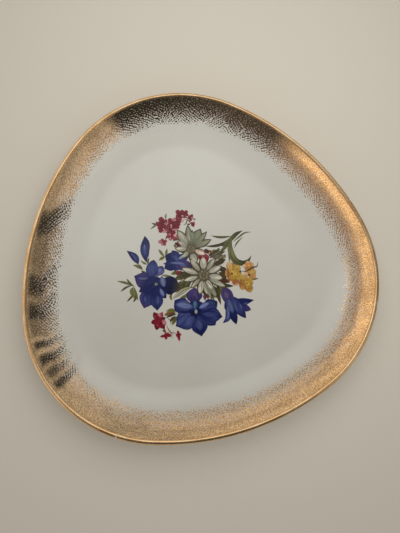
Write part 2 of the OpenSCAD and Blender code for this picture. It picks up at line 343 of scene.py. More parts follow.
def glaze_material():
    made, m = material("clear_glaze_on_porcelain")
    place = m.place()
    smudge = m.noise(place, 26.0, 4.0, 0.6)
    roughness = m.step(smudge, 0.35, 0.75, 0.07, 0.15)
    normal = bump(m, glaze_ripple(m, place), 1.0)
    finish(m, glaze_colour(m, place), roughness=roughness, normal=normal, IOR=GLAZE_IOR)
    return made


def bisque_material():
    """The unglazed body: matt, faintly grey, with a fine grain and the marks of use on its resting edge."""
    made, m = material("bare_porcelain")
    place = m.place()
    grain = m.noise(place, 1800.0, 3.0)
    wear = m.noise(place, 90.0, 4.0, 0.65)
    colour = m.mix(m.step(wear, 0.5, 0.72), rgb(222, 216, 204), rgb(176, 166, 150))
    finish(m, colour, roughness=m.step(grain, 0.3, 0.7, 0.62, 0.82), normal=bump(m, grain, 0.00003))
    return made


def gold_colour(m, place):
    """Fired liquid gold, a little redder where the film is thin."""
    cloud = m.noise(place, 120.0, 3.0)
    return m.mix(m.step(cloud, 0.3, 0.7), (0.80, 0.49, 0.23, 1), (0.93, 0.64, 0.35, 1))


def gilt_material():
    """The lip line, banded by hand: bright gold with brush drag along it, and thin places on the crest."""
    made, m = material("gilt_lip")
    place = m.place()
    along, _, run = m.split(m.attribute("rim").outputs["Vector"])
    drag = m.noise(m.join(m.math("MULTIPLY", along, 90.0), m.math("MULTIPLY", run, 2600.0), 0.0), 1.0, 3.0)
    rub = m.noise(place, 260.0, 4.0, 0.65)
    off_crest = m.math("ABSOLUTE", m.math("SUBTRACT", m.math("MULTIPLY", run, 1 / CREST_RUN), 1.0))
    crest = m.math("SUBTRACT", 1.0, off_crest)
    worn = m.step(m.math("ADD", rub, m.math("MULTIPLY", crest, 0.08)), 0.70, 0.76)
    colour = m.mix(worn, gold_colour(m, place), glaze_colour(m, place))
    metallic = m.math("SUBTRACT", 1.0, worn)
    roughness = m.step(drag, 0.3, 0.7, 0.18, 0.32)
    normal = bump(m, m.math("MULTIPLY", drag, 0.00001), 1.0)
    finish(m, colour, metallic, roughness, normal)
    return made


def brocade_material():
    """Gold stamped through an open weave: slanting rows of short dashes that thin out inward, with a haze of
    thinner, rosier gold between them near the lip. The rows lean one way in some places and the other
    way in the rest."""
    made, m = material("brocade_gold")
    place = m.place()
    along, inset, _ = m.split(m.attribute("rim").outputs["Vector"])
    at = m.scaled(place, 1000.0)
    stray = m.math("MULTIPLY", m.math("SUBTRACT", m.noise(at, 0.3, 1.0), 0.5), 5.0)
    along_mm = m.math("MULTIPLY_ADD", along, 1000.0, stray)
    inset_mm = m.math("MULTIPLY", inset, 1000.0)

    def lattice(lean):
        """Rows of dashes that lean away from the rim's own direction: -2 between them, 2 on them."""
        c, s = math.cos(lean), math.sin(lean)
        with_it = m.math("ADD", m.math("MULTIPLY", along_mm, c), m.math("MULTIPLY", inset_mm, s))
        across = m.math("SUBTRACT", m.math("MULTIPLY", inset_mm, c), m.math("MULTIPLY", along_mm, s))
        columns = m.math("COSINE", m.math("MULTIPLY", with_it, 2 * math.pi / DASH_PITCH_MM))
        rows = m.math("COSINE", m.math("MULTIPLY", across, 2 * math.pi / ROW_PITCH_MM))
        return m.math("MULTIPLY_ADD", rows, 1.16, m.math("MULTIPLY", columns, 0.84))

    patch = m.step(m.noise(at, 0.06, 1.0), 0.47, 0.53)
    other = m.math("SUBTRACT", 1.0, patch)
    left = m.math("MULTIPLY", lattice(ROW_LEANS[0]), patch)
    cell = m.math("ADD", left, m.math("MULTIPLY", lattice(ROW_LEANS[1]), other))
    grain = m.noise(at, 1.1, 2.0)
    weave = m.math("MULTIPLY_ADD", cell, 0.13, m.math("MULTIPLY_ADD", grain, 0.68, 0.16))
    drift = m.math("SUBTRACT", m.noise(at, 0.16, 3.0), 0.5)
    narrowing = m.step(m.split(at)[1], 20.0, 60.0, 1.05, 1.22)
    depth = m.math("MULTIPLY_ADD", drift, 5.0, m.math("MULTIPLY", inset_mm, narrowing))
    thinning = m.add("ShaderNodeMapRange", {0: depth, 1: 2.0, 2: 16.5, 3: 0.22, 4: 0.57}).outputs[0]
    threshold = m.math("ADD", thinning, m.step(depth, 15.5, 20.0, 0.0, 0.3))
    gold = m.step(m.math("SUBTRACT", weave, threshold), -0.07, 0.08)
    gold = m.math("MULTIPLY", gold, m.step(inset_mm, 21.1, 20.2))
    glint = m.step(m.noise(at, 1.7, 1.0), 0.44, 0.58)
    metal = m.mix(glint, (0.60, 0.34, 0.16, 1), (1.0, 0.71, 0.38, 1))
    haze = m.math("MULTIPLY", m.step(depth, 16.0, 5.0, 0.0, 0.72), m.step(inset_mm, 21.1, 20.2))
    metal = m.mix(gold, (0.66, 0.42, 0.31, 1), metal)
    cover = m.math("MAXIMUM", gold, haze)
    colour = m.mix(cover, glaze_colour(m, place), metal)
    roughness = m.step(grain, 0.3, 0.7, 0.05, 0.10)
    height = m.math("MULTIPLY_ADD", gold, 0.0000012, glaze_ripple(m, place))
    finish(m, colour, cover, roughness, bump(m, height, 1.0), IOR=GLAZE_IOR)
    return made


# ---------------------------------------------------------------- lofted shells

def ring(inset, z, shrink=1.0):
    """Points at one distance from the outline, drawn in towards the middle by shrink."""
    points = []
    for centre, radius, start, sweep in ARCS:
        for i in range(ARC_STEPS):
            p = (centre + direction(start + sweep * i / ARC_STEPS) * (radius - inset)) * shrink
            points.append((p.x, p.y, z))
    return points


def lengths_along():
    """The running length round the outline at each sample, and once more at the end."""
    lengths = [0.0]
    for _, radius, _, sweep in ARCS:
        for _ in range(ARC_STEPS):
            lengths.append(lengths[-1] + radius * sweep / ARC_STEPS)
    return lengths


def smooth_object(name, mesh):
    mesh.shade_smooth()
    mesh.set_sharp_from_angle(angle=SHARP_ANGLE)
    obj = bpy.data.objects.new(name, mesh)
    bpy.context.scene.collection.objects.link(obj)
    return obj


def loft(name, section):
    """A closed shell that carries a section round the outline. The section is a list of (inset, z, shrink);
    where shrink is 0 at its two ends the shell closes on the middle, and otherwise the section is a loop."""
    count = 6 * ARC_STEPS
    capped = section[0][2] == 0
    open_part = section[1:-1] if capped else section
    vertices = [p for s in open_part for p in ring(*s)]
    rows = len(open_part)
    faces = []
    places = []
    along = lengths_along()
    run = [0.0]
    for a, b in zip(section, section[1:] + section[:1]):
        run.append(run[-1] + math.hypot(b[0] - a[0], b[1] - a[1]))
    for row in range(rows - 1 if capped else rows):
        below = (row + 1) % rows
        for i in range(count):
            j = (i + 1) % count
            faces.append((row * count + i, below * count + i, below * count + j, row * count + j))
            near, far = open_part[row][0], open_part[below][0]
            here, there = run[row], run[row + 1]
            places += [(along[i], near, here), (along[i], far, there)]
            places += [(along[i + 1], far, there), (along[i + 1], near, here)]
    if capped:
        for pole, row, order in ((section[0], 0, 1), (section[-1], rows - 1, -1)):
            vertices.append((0, 0, pole[1]))
            for i in range(count):
                edge = [row * count + i, row * count + (i + 1) % count][::order]
                faces.append((len(vertices) - 1, *edge))
                places += [(0, 0, 0)] * 3
    mesh = bpy.data.meshes.new(name)
    mesh.from_pydata(vertices, [], faces)
    rim = mesh.attributes.new("rim", "FLOAT_VECTOR", "CORNER")
    rim.data.foreach_set("vector", [v for p in places for v in p])
    return smooth_object(name, mesh)


def on_wall(radius, angle):
    """The section point at one radius and wall angle."""
    return (WALL_W - radius * math.sin(angle), COUPE_Z - radius * math.cos(angle), 1.0)


def wall(radius, start, end):
    """Section points along the wall at one radius, between two wall angles."""
    return [on_wall(radius, start + (end - start) * i / WALL_STEPS) for i in range(WALL_STEPS + 1)]


def lip(radius, start, end):
    """Section points round the lip, from -90 degrees at the wall's back to 90 at its face."""
    middle = (WALL_W - LIP_REACH * math.sin(LIP_SLOPE), COUPE_Z - LIP_REACH * math.cos(LIP_SLOPE))
    points = []
    for i in range(LIP_STEPS + 1):
        angle = LIP_SLOPE + math.radians(start + (end - start) * i / LIP_STEPS)
        points.append((middle[0] - radius * math.cos(angle), middle[1] + radius * math.sin(angle), 1.0))
    return points


def middle_to_wall(z, inset):
    """Section points across the flat middle, from its centre to a distance from the outline."""
    points = [(inset, z, shrink) for shrink in (0.15, 0.35, 0.55, 0.72, 0.86, 0.95)]
    return [(inset, z, 0)] + points


def ringed(*points):
    """Section points that follow the outline itself, from (inset, height)."""
    return [(inset, height, 1.0) for inset, height in points]


def foot_root(inset, side):
    """The glaze's fillet where the foot meets the underside: side is 1 outside the foot and -1 inside it."""
    fillet = ((-FILLET_W, 0), (-0.1 * MM, 0.15 * MM), (0.15 * MM, 0.5 * MM))
    return [(inset + side * out, UNDERSIDE_Z - down) for out, down in fillet]


def dress(obj, paint, node):
    """Gives a piece its material and slot, in place of the CAD node that it stands for."""
    obj.data.materials.append(paint)
    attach(obj, BODY)
    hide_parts(node)


def porcelain_body():
    """The fired clay, which shows only at the resting edge and is tucked in under its glaze elsewhere."""
    skin = GLAZE_T - TUCK
    face = wall(COUPE_R + skin, 0, LIP_SLOPE)
    rim = lip(LIP_R - skin, 90, -90)[1:-1]
    back = wall(COUPE_R + WALL_T - skin, LIP_SLOPE, 0)
    ease = 0.5 * MM
    z = UNDERSIDE_Z + skin
    outer = FOOT_EDGE + GLAZE_T
    inner = RECESS_EDGE - GLAZE_T
    corner = [(0, BARE_EDGE_H), (0.12 * ease, 0.35 * ease), (0.4 * ease, 0.1 * ease), (ease, 0)]
    foot = ringed(
        (FOOT_INSET + skin, z), (FOOT_EDGE + skin, BARE_EDGE_H + TUCK),
        *((outer + out, height) for out, height in corner),
        *((inner - out, height) for out, height in reversed(corner)),
        (RECESS_EDGE - skin, BARE_EDGE_H + TUCK), (RECESS_INSET - skin, z)
    )
    top = middle_to_wall(WELL_Z - skin, WALL_W)
    under = middle_to_wall(z, RECESS_INSET)[::-1]
    body = loft("porcelain_body_fired", top + face + rim + back + foot + under)
    dress(body, bisque_material(), "porcelain_body")


def glaze_face(paint):
    """The face's glaze: the flat well, the wall and over the lip to its crest."""
    top = middle_to_wall(WELL_Z, WALL_W) + wall(COUPE_R, 0, LIP_SLOPE)
    crest = lip(LIP_R, 90, 0)[1:] + lip(LIP_R - GLAZE_T, 0, 90)[:-1]
    inner = wall(COUPE_R + GLAZE_T, LIP_SLOPE, 0)
    under = middle_to_wall(WELL_Z - GLAZE_T, WALL_W)[::-1]
    dress(loft("glaze_on_face", top + crest + inner + under), paint, "glaze_face")


def glaze_back(paint):
    """The back's glaze, from the lip down the wall and the foot's outer side."""
    outer = lip(LIP_R, 0, -90)[:-1] + wall(COUPE_R + WALL_T, LIP_SLOPE, 0)
    foot = ringed(
        *foot_root(FOOT_INSET, 1), (FOOT_EDGE, BARE_EDGE_H), (FOOT_EDGE + GLAZE_T, BARE_EDGE_H),
        (FOOT_INSET + GLAZE_T, UNDERSIDE_Z + GLAZE_T)
    )
    inner = wall(COUPE_R + WALL_T - GLAZE_T, 0, LIP_SLOPE) + lip(LIP_R - GLAZE_T, -90, 0)[1:]
    dress(loft("glaze_on_back", outer + foot + inner), paint, "glaze_back")


def glaze_recess(paint):
    """The glaze inside the foot ring."""
    inset = RECESS_INSET + FILLET_W
    skin = ringed(
        (RECESS_INSET + GLAZE_T, UNDERSIDE_Z + GLAZE_T), (RECESS_INSET - GLAZE_T, UNDERSIDE_Z + GLAZE_T),
        (RECESS_EDGE - GLAZE_T, BARE_EDGE_H), (RECESS_EDGE, BARE_EDGE_H),
        *reversed(foot_root(RECESS_INSET, -1))
    )
    over = middle_to_wall(UNDERSIDE_Z + GLAZE_T, inset)
    under = middle_to_wall(UNDERSIDE_Z, inset)[::-1]
    dress(loft("glaze_in_recess", over + skin + under), paint, "glaze_recess")


def gilt_lip():
    """The gold line over the lip, whose edges thin out onto the glaze."""
    outside = lip(LIP_R + GOLD_T, 84, -84)
    inside = lip(LIP_R - TUCK, -90, 90)
    dress(loft("gilt_lip_film", outside + inside), gilt_material(), "gilt_lip_line")


def brocade_band():
    """The stippled gold, thickest by the lip and thinned to almost nothing where its pattern ends."""
    start = math.asin((WALL_W - BAND_W) / COUPE_R)
    outside = []
    steps = 2 * WALL_STEPS
    for i in range(steps + 1):
        part = i / steps
        film = GOLD_T * min(1, 2 * part) if part > 0.05 else GOLD_T * 0.1
        outside.append(on_wall(COUPE_R - film, start + (LIP_SLOPE - start) * part))
    inside = wall(COUPE_R + TUCK, LIP_SLOPE, start)
    dress(loft("brocade_gold_film", outside + inside), brocade_material(), "brocade_gold_band")


# ---------------------------------------------------------------- the bouquet

# Each level of enamel stands this much above the one below it, and each stroke a hair above the last.
ENAMEL_LIFT = 0.018 * MM
STROKE_LIFT = 0.0002 * MM
WIDTH_STEPS = 8


def spine(points, u):
    """The place at u, from 0 to 1, on a smooth curve through the points."""
    spans = len(points) - 1
    i = min(int(u * spans), spans - 1)
    t = u * spans - i
    b, c = points[i], points[i + 1]
    a = points[i - 1] if i > 0 else b * 2 - c
    d = points[i + 2] if i + 2 < len(points) else c * 2 - b
    return b + ((c - a) + ((a * 2 - b * 5 + c * 4 - d) + (b * 3 - a - c * 3 + d) * t) * t) * (t / 2)


class Painting:
    """Collects the strokes of one motif. Each is a closed, faintly domed drop of enamel on the glaze, and
    ground says how many levels of other motifs it may cover."""

    def __init__(self, ground=0):
        self.ground = ground
        self.count = 0
        self.vertices = []
        self.faces = []
        self.inks = []
        self.strokes = []

    def stroke(self, points, width, inks, level=0, belly=1.3, point=1.0, edge=None, soft=False):
        """A petal or leaf along a curve through points in millimetres. It is widest past the middle where
        belly is over 1, and its tip is rounder where point is under 1. The inks run along it, and edge is its
        outline. A soft one fades into its edge ink all round."""
        points = [Vector(p) * MM for p in points]
        self.count += 1
        base = WELL_Z + ENAMEL_LIFT * (self.ground + level + 1) + STROKE_LIFT * self.count
        dome = 0.005 * MM + 0.001 * width * MM
        seed = self.count * 0.61
        edge = edge or tuple(0.5 * v for v in inks[-1][:3])
        first = len(self.vertices)
        steps = max(14, 6 * len(points))
        for i in range(steps + 1):
            u = i / steps
            middle = spine(points, u)
            ahead = (spine(points, min(1, u + 0.01)) - spine(points, max(0, u - 0.01))).normalized()
            across = Vector((-ahead.y, ahead.x))
            turn = u ** belly
            half_w = width * MM / 2 * max(math.sin(math.pi * turn) ** (point if turn > 0.5 else 1.0), 0.02)
            for j in range(WIDTH_STEPS + 1):
                t = 2 * j / WIDTH_STEPS - 1
                p = middle + across * (half_w * t)
                z = base + dome * (1 - t * t) * math.sin(math.pi * u) ** 0.5
                self.vertices.append((p.x, p.y, z))
                self.inks.append(self.shade(inks, edge, u, t, soft))
                self.strokes.append((u, t, seed))
        row = WIDTH_STEPS + 1
        for i in range(steps):
            for j in range(WIDTH_STEPS):
                corner = first + i * row + j
                self.faces.append((corner, corner + row, corner + row + 1, corner + 1))
        rim = [first + j for j in range(row)]
        rim += [first + i * row + WIDTH_STEPS for i in range(1, steps)]
        rim += [first + steps * row + j for j in range(WIDTH_STEPS, -1, -1)]
        rim += [first + i * row for i in range(steps - 1, 0, -1)]
        self.stand(rim)

    def stand(self, rim):
        """Closes a stroke below its rim: walls down into the glaze, and a flat underside."""
        foot = len(self.vertices)
        for v in rim:
            x, y, _ = self.vertices[v]
            self.vertices.append((x, y, WELL_Z - TUCK))
            self.inks.append(self.inks[v])
            self.strokes.append(self.strokes[v])
        count = len(rim)
        for i in range(count):
            j = (i + 1) % count
            self.faces.append((rim[i], rim[j], foot + j, foot + i))
        self.faces.append(tuple(range(foot, foot + count)))

    def glow(self, points, width, light, around, level):
        """A soft patch that fades into the ink around it."""
        self.stroke(points, width, (light, light), level, 1.0, 0.8, around, soft=True)

    def dot(self, place, radius, tone, level=0, edge=None):
        """A round drop, such as an eye or a floret."""
        x, y = place
        self.stroke([(x - radius, y), (x + radius, y)], 2 * radius, (tone, tone), level, 1.0, 1.0, edge)

    def shade(self, inks, edge, u, t, soft):
        """The ink at one place. It runs through the inks along the stroke, and towards the edge ink at its
        sides."""
        span = u * (len(inks) - 1)
        step = min(int(span), len(inks) - 2)
        part = span - step
        side = abs(t)
        rimmed = max(0.0, (side - 0.55) / 0.45) ** 1.5 * 0.75
        if soft:
            part_way = min(1.0, max(0.0, (max(side, (2 * u - 1) ** 2) - 0.15) / 0.8))
            rimmed = part_way * part_way * (3 - 2 * part_way)
        mixed = [a + (b - a) * part for a, b in zip(inks[step], inks[step + 1])]
        return [c + (e - c) * rimmed for c, e in zip(mixed[:3], edge[:3])] + [1.0]

    def piece(self, node, slot, part="enamel"):
        name = f"{node}_{part}"
        mesh = bpy.data.meshes.new(name)
        mesh.from_pydata(self.vertices, [], self.faces)
        inks = mesh.attributes.new("ink", "FLOAT_COLOR", "POINT")
        inks.data.foreach_set("color", [v for c in self.inks for v in c])
        stroke = mesh.attributes.new("stroke", "FLOAT_VECTOR", "POINT")
        stroke.data.foreach_set("vector", [v for c in self.strokes for v in c])
        dress(smooth_object(name, mesh), ENAMELS[slot], node)


def enamel_material(name, veins, streaks, grain):
    """Transfer enamel: the stroke's own inks with brush streaks along it, fine veins and the litho grain
    of the print. Where the colour is heavy its surface is a little softer than the glaze."""
    made, m = material(name)
    place = m.place()
    own_ink = m.attribute("ink").outputs["Color"]
    u, t, seed = m.split(m.attribute("stroke").outputs["Vector"])
    run = m.math("MULTIPLY_ADD", u, 2.2, m.math("MULTIPLY", seed, 7.0))
    fan = m.join(run, m.math("MULTIPLY", t, 5.0), seed)
    streak = m.noise(fan, 1.0, 3.0, 0.6)
    dots = m.noise(place, 5200.0, 1.0)
    lines = m.math("ABSOLUTE", m.math("SINE", m.math("MULTIPLY", t, math.pi * 2.0)))
    vein = m.math("MULTIPLY", m.step(lines, 0.22, 0.0), m.step(u, 0.02, 0.25))
    level = m.step(streak, 0.3, 0.7, 1.0 - streaks, 1.0 + streaks)
    level = m.math("MULTIPLY", level, m.math("SUBTRACT", 1.0, m.math("MULTIPLY", vein, veins)))
    level = m.math("MULTIPLY", level, m.step(dots, 0.3, 0.7, 1.0 - grain, 1.0 + grain))
    colour = m.scaled(own_ink, level)
    height = m.math("ADD", m.math("MULTIPLY", streak, 0.000004), m.math("MULTIPLY", dots, 0.0000008))
    roughness = m.step(streak, 0.3, 0.7, 0.10, 0.20)
    finish(m, colour, roughness=roughness, normal=bump(m, height, 1.0), IOR=ENAMEL_IOR)
    return made


def ink(red, green, blue):
    """An ink's own colour, from how it looks on the lit plate, 0 to 255."""
    return tuple(max(0.002, v / 0.66 - 0.008) for v in rgb(red, green, blue)[:3]) + (1.0,)


NAVY = ink(28, 34, 78)
DEEP_NAVY = ink(22, 25, 55)
ROYAL = ink(45, 52, 98)
MID_BLUE = ink(62, 72, 116)
SKY = ink(92, 102, 146)
LAVENDER = ink(108, 117, 158)
TEAL = ink(74, 98, 126)
VIOLET = ink(62, 52, 96)
LILAC = ink(80, 80, 126)
CRIMSON = ink(114, 31, 44)
DEEP_RED = ink(78, 18, 27)
ROSE = ink(136, 64, 72)
PINK = ink(180, 126, 130)
BLUSH = ink(182, 160, 148)
GOLDEN = ink(160, 130, 58)
STRAW = ink(172, 142, 80)
PEACH = ink(190, 152, 116)
OCHRE = ink(140, 104, 50)
ORANGE = ink(168, 120, 72)
RUSSET = ink(134, 84, 50)
BROWN = ink(76, 54, 30)
CREAM = ink(160, 156, 143)
WOOL = ink(142, 139, 126)
GREY_GREEN = ink(112, 112, 95)
TAUPE = ink(98, 90, 74)
UMBER = ink(64, 55, 40)
DARK_GREEN = ink(56, 56, 34)
OLIVE = ink(84, 84, 52)
LEAF = ink(112, 112, 76)
PALE_LEAF = ink(142, 140, 108)
MOSS = ink(104, 106, 40)


def gentian_front():
    p = Painting(4)
    c = (-7.5, -30.0)
    body = (NAVY, NAVY, ROYAL, NAVY)
    p.stroke([(-15, -30.5), (0, -31)], 15, (NAVY, NAVY, NAVY), 0, 1.0, 0.7)
    p.stroke([(-6.6, -26), (-5.8, -21), (-4.3, -16.2)], 9.6, (NAVY, VIOLET, VIOLET), 0, 1.0, 0.9, NAVY)
    p.stroke([(-4, -31), (1.0, -41)], 7.5, body, 0, 1.4, 0.9)
    p.stroke(
        [(-5, -28), (-13.4, -25.2), (-17.8, -20.2)], 9.8, (NAVY, ROYAL, ROYAL, NAVY), 1, 1.4, 0.9, NAVY
    )
    p.stroke([(-14, -27.4), (-18.4, -25.8)], 4.2, (NAVY, ROYAL, NAVY), 1, 1.1, 0.7)
    p.stroke(
        [(-6, -29.4), (0.4, -29.4), (6.2, -28.2)], 8.2, (NAVY, ROYAL, ROYAL, DEEP_NAVY), 1, 1.3, 0.8, NAVY
    )
    p.stroke(
        [(-6, -31), (0.6, -34.6), (6.4, -37.5)], 9.0, (NAVY, NAVY, ROYAL, DEEP_NAVY), 2, 1.2, 1.1, NAVY
    )
    leaf = (NAVY, ROYAL, MID_BLUE, ROYAL, DEEP_NAVY)
    p.stroke([(-5, -29.4), (-14, -32.8), (-21.3, -34.8)], 11.8, leaf, 2, 1.2, 1.1, NAVY)
    p.stroke(
        [(-7.4, -31), (-8, -38), (-8.6, -44.8)], 9.4, (NAVY, ROYAL, NAVY, DEEP_NAVY), 3, 1.3, 1.2, NAVY
    )
    p.glow([(-8.2, -27.4), (-13, -24.6), (-18.2, -22.6)], 5.8, ink(98, 108, 150), ROYAL, 3)
    p.glow([(-12, -30.5), (-17, -32.6), (-20.5, -35)], 4.6, MID_BLUE, ROYAL, 3)
    p.glow([(-18.2, -27), (-14, -28.4), (-10.6, -29.2)], 2.0, DEEP_NAVY, ROYAL, 3)
    p.glow([(-8, -29), (-6.9, -26), (-6.4, -23.2)], 3.8, TEAL, NAVY, 3)
    p.glow([(-5.8, -29), (-2, -28), (1.8, -27.4)], 3.4, LAVENDER, ROYAL, 3)
    p.glow([(-5.4, -21.6), (-4.6, -17.8)], 2.6, ink(72, 64, 102), VIOLET, 2)
    p.glow([(0.2, -21.4), (-0.5, -25.4)], 1.8, ink(112, 48, 78), NAVY, 2)
    p.glow([(-7.8, -34.6), (-8.2, -41.4)], 4.6, ink(62, 68, 108), ROYAL, 4)
    p.glow([(-4.4, -32.4), (3.4, -36)], 3.0, ink(52, 60, 102), ROYAL, 3)
    p.glow([(1.4, -28), (4.6, -28.4)], 2.2, ink(40, 62, 84), ROYAL, 3)
    for tip in ((-12.4, -28.8), (-11.4, -31.8), (-9, -34), (-4.6, -33), (-4, -29.8)):
        p.stroke([c, tip], 2.2, (DEEP_NAVY, DEEP_NAVY, NAVY), 4)
    p.stroke([(-8, -31.6), (-7.2, -28.8)], 1.8, (ink(132, 140, 142), ink(142, 150, 146)), 5, 1.0, 0.8, TEAL)
    p.dot((-7.7, -30.6), 0.3, GOLDEN, 6)
    p.piece("gentian_front", "blue_enamel")


def gentian_left():
    p = Painting(2)
    c = (-28.2, -8.0)
    p.stroke([(-24.5, -4), (-21.6, -1.4), (-18.9, 1.6)], 5.2, (NAVY, LILAC, LILAC, NAVY), 0, 1.5, 0.7, NAVY)
    p.stroke([c, (-31.7, -18.9)], 4.2, (NAVY, NAVY, DEEP_NAVY), 0, 1.5, 1.0)
    p.stroke([c, (-36.4, -9.2)], 4.6, (NAVY, NAVY, DEEP_NAVY), 0, 1.3, 1.0)
    p.stroke(
        [(-25.5, -9), (-23.8, -13.5), (-22.2, -17.5)], 4.2, (NAVY, ROYAL, DEEP_NAVY), 1, 1.4, 0.8, NAVY
    )
    p.stroke(
        [(-26, -8.6), (-19, -10.4), (-12.8, -13.8)], 11.0, (NAVY, DEEP_NAVY, DEEP_NAVY, UMBER), 1, 1.3, 0.8,
        DEEP_NAVY
    )
    p.stroke([(-27, -6), (-25.8, 0), (-22.8, 6.6)], 7.4, (NAVY, ROYAL, MID_BLUE, NAVY), 2, 1.3, 0.7, NAVY)
    p.stroke([(-26, -7.6), (-31.4, -3.8), (-36.5, 0.6)], 9.8, (NAVY, NAVY, VIOLET, NAVY), 2, 1.2, 1.1, NAVY)
    p.stroke(
        [(-27, -7), (-32, -13.4), (-36.2, -19.4)], 9.6, (NAVY, NAVY, ROYAL, VIOLET), 2, 1.2, 1.0, VIOLET
    )
    p.stroke(
        [(-27.5, -8), (-27.8, -16), (-29.1, -22.9)], 7.8, (NAVY, NAVY, ROYAL, DEEP_NAVY), 3, 1.3, 1.1, NAVY
    )
    p.stroke([(-35, -9.6), (-28, -7.8), (-21.4, -6)], 11.5, (NAVY, NAVY, NAVY), 3, 1.0, 0.7, NAVY)
    p.glow([(-28.4, -3), (-32, -2.4), (-35.6, -1)], 2.8, LILAC, NAVY, 4)
    p.glow([(-25.6, -2.4), (-24.4, 4.6)], 3.6, MID_BLUE, ROYAL, 4)
    p.glow([(-26.4, -14.6), (-27.8, -20)], 2.6, MID_BLUE, ROYAL, 4)
    p.glow([(-33.6, -12.4), (-34.6, -17)], 3.0, MID_BLUE, NAVY, 4)
    p.glow([(-21.2, -4.0), (-21.3, -11)], 4.0, ink(102, 110, 142), ROYAL, 4)
    p.glow([(-24.0, -10.6), (-23.1, -16.4)], 2.8, LAVENDER, ROYAL, 4)
    p.glow([(-21.8, -1.8), (-20.4, 0.8)], 2.6, SKY, LILAC, 4)
    p.stroke(
        [(-26.4, -7.9), (-24.5, -7.6)], 1.9, (ink(128, 138, 104), ink(120, 128, 92)), 5, 1.0, 0.8, OLIVE
    )
    p.stroke([(-25.6, -8.6), (-25.2, -6.9)], 0.5, (OLIVE, DARK_GREEN), 6)
    p.piece("gentian_left", "blue_enamel")


def gentian_back():
    p = Painting(1)
    c = (-9.0, 1.5)
    for tip, width, inks, level in (
        ((-15.6, 7.2), 7.2, (NAVY, NAVY, DEEP_NAVY), 1), ((-10.6, 9.0), 5.6, (NAVY, ROYAL, DEEP_NAVY), 2),
        ((-4.7, 5.0), 4.2, (ROYAL, NAVY, DEEP_NAVY), 1), ((-2.7, 2.2), 3.4, (ROYAL, VIOLET, DEEP_NAVY), 2),
        ((-2.0, -5), 5.6, (VIOLET, VIOLET, DEEP_NAVY), 1), ((-18.2, -0.2), 6.8, (ROYAL, NAVY, NAVY), 2),
        ((-12.8, -3.4), 5.0, (NAVY, VIOLET, NAVY), 1), ((-8, -4.4), 5.6, (ROYAL, VIOLET, VIOLET), 0)
    ):
        p.stroke([c, tip], width, inks, level, 1.25, 1.0, NAVY)
    p.stroke([(-14, 2), (-18.2, 2.7)], 1.3, (NAVY, MID_BLUE), 0)
    p.glow([(-14.6, 2.2), (-9, 0.4), (-5.2, -1.6)], 2.4, SKY, ROYAL, 3)
    p.glow([(-10.6, 5.6), (-8.6, 1.6)], 3.0, MID_BLUE, ROYAL, 3)
    p.glow([(-8.8, 2.6), (-6, 3.6), (-3.8, 3.8)], 1.9, ink(136, 152, 158), TEAL, 3)
    p.glow([(-9, -0.6), (-5, -3.4)], 2.6, LILAC, VIOLET, 3)
    p.piece("gentian_back", "blue_enamel")


def gentian_bell():
    """The gentian seen from its side: a ribbed tube that flares into pointed lobes."""
    p = Painting(2)
    p.stroke(
        [(14, -29), (18.5, -32.2), (27.4, -33.6)], 4.6, (ROYAL, NAVY, NAVY, DEEP_NAVY), 0, 1.3, 1.1, NAVY
    )
    p.stroke([(14, -30), (19, -35), (23.8, -38.6)], 4.4, (ROYAL, NAVY, VIOLET), 1, 1.5, 0.7, NAVY)
    p.stroke(
        [(14.5, -27), (16.6, -34), (19.4, -42.4)], 6.0, (ROYAL, ROYAL, ROYAL, DEEP_NAVY), 2, 1.3, 0.9, NAVY
    )
    p.stroke(
        [(11.6, -28), (11, -34), (9.4, -39), (5.6, -41.2)], 3.6, (ROYAL, MID_BLUE, MID_BLUE, NAVY), 2, 1.1,
        0.9, NAVY
    )
    p.stroke([(13, -30), (12.8, -36), (13, -44.2)], 4.8, (ROYAL, NAVY, NAVY, DEEP_NAVY), 3, 1.5, 0.9, NAVY)
    p.stroke([(13, -24), (14, -31), (15.4, -37.4)], 10.6, (VIOLET, ROYAL, ROYAL, NAVY), 2, 1.5, 0.7, NAVY)
    p.stroke(
        [(12.2, -20.4), (12.9, -26.4), (13.4, -34)], 7.0, (UMBER, VIOLET, VIOLET, ROYAL, ROYAL), 3, 0.95,
        0.7, VIOLET
    )
    p.glow([(12.2, -23.4), (12.6, -28.6)], 4.2, ink(84, 71, 100), VIOLET, 4)
    p.glow([(12.5, -28), (13, -37.4)], 4.6, ink(78, 90, 124), ROYAL, 4)
    p.glow([(10.9, -31.5), (10.4, -36.8), (8.6, -40)], 1.3, SKY, MID_BLUE, 4)
    p.glow([(15.4, -30), (16, -38)], 2.2, MID_BLUE, ROYAL, 4)
    p.stroke([(18.4, -32), (18.9, -37.4)], 0.5, (MID_BLUE, SKY, MID_BLUE), 4)
    p.glow([(20, -34), (24, -34)], 1.5, MID_BLUE, NAVY, 2)
    p.stroke([(11.3, -27), (11.9, -33), (12.2, -37)], 0.5, (VIOLET, NAVY), 4)
    p.stroke([(14.6, -26), (14.4, -33), (14.6, -37.6)], 0.5, (VIOLET, NAVY), 4)
    p.piece("gentian_bell", "blue_enamel")


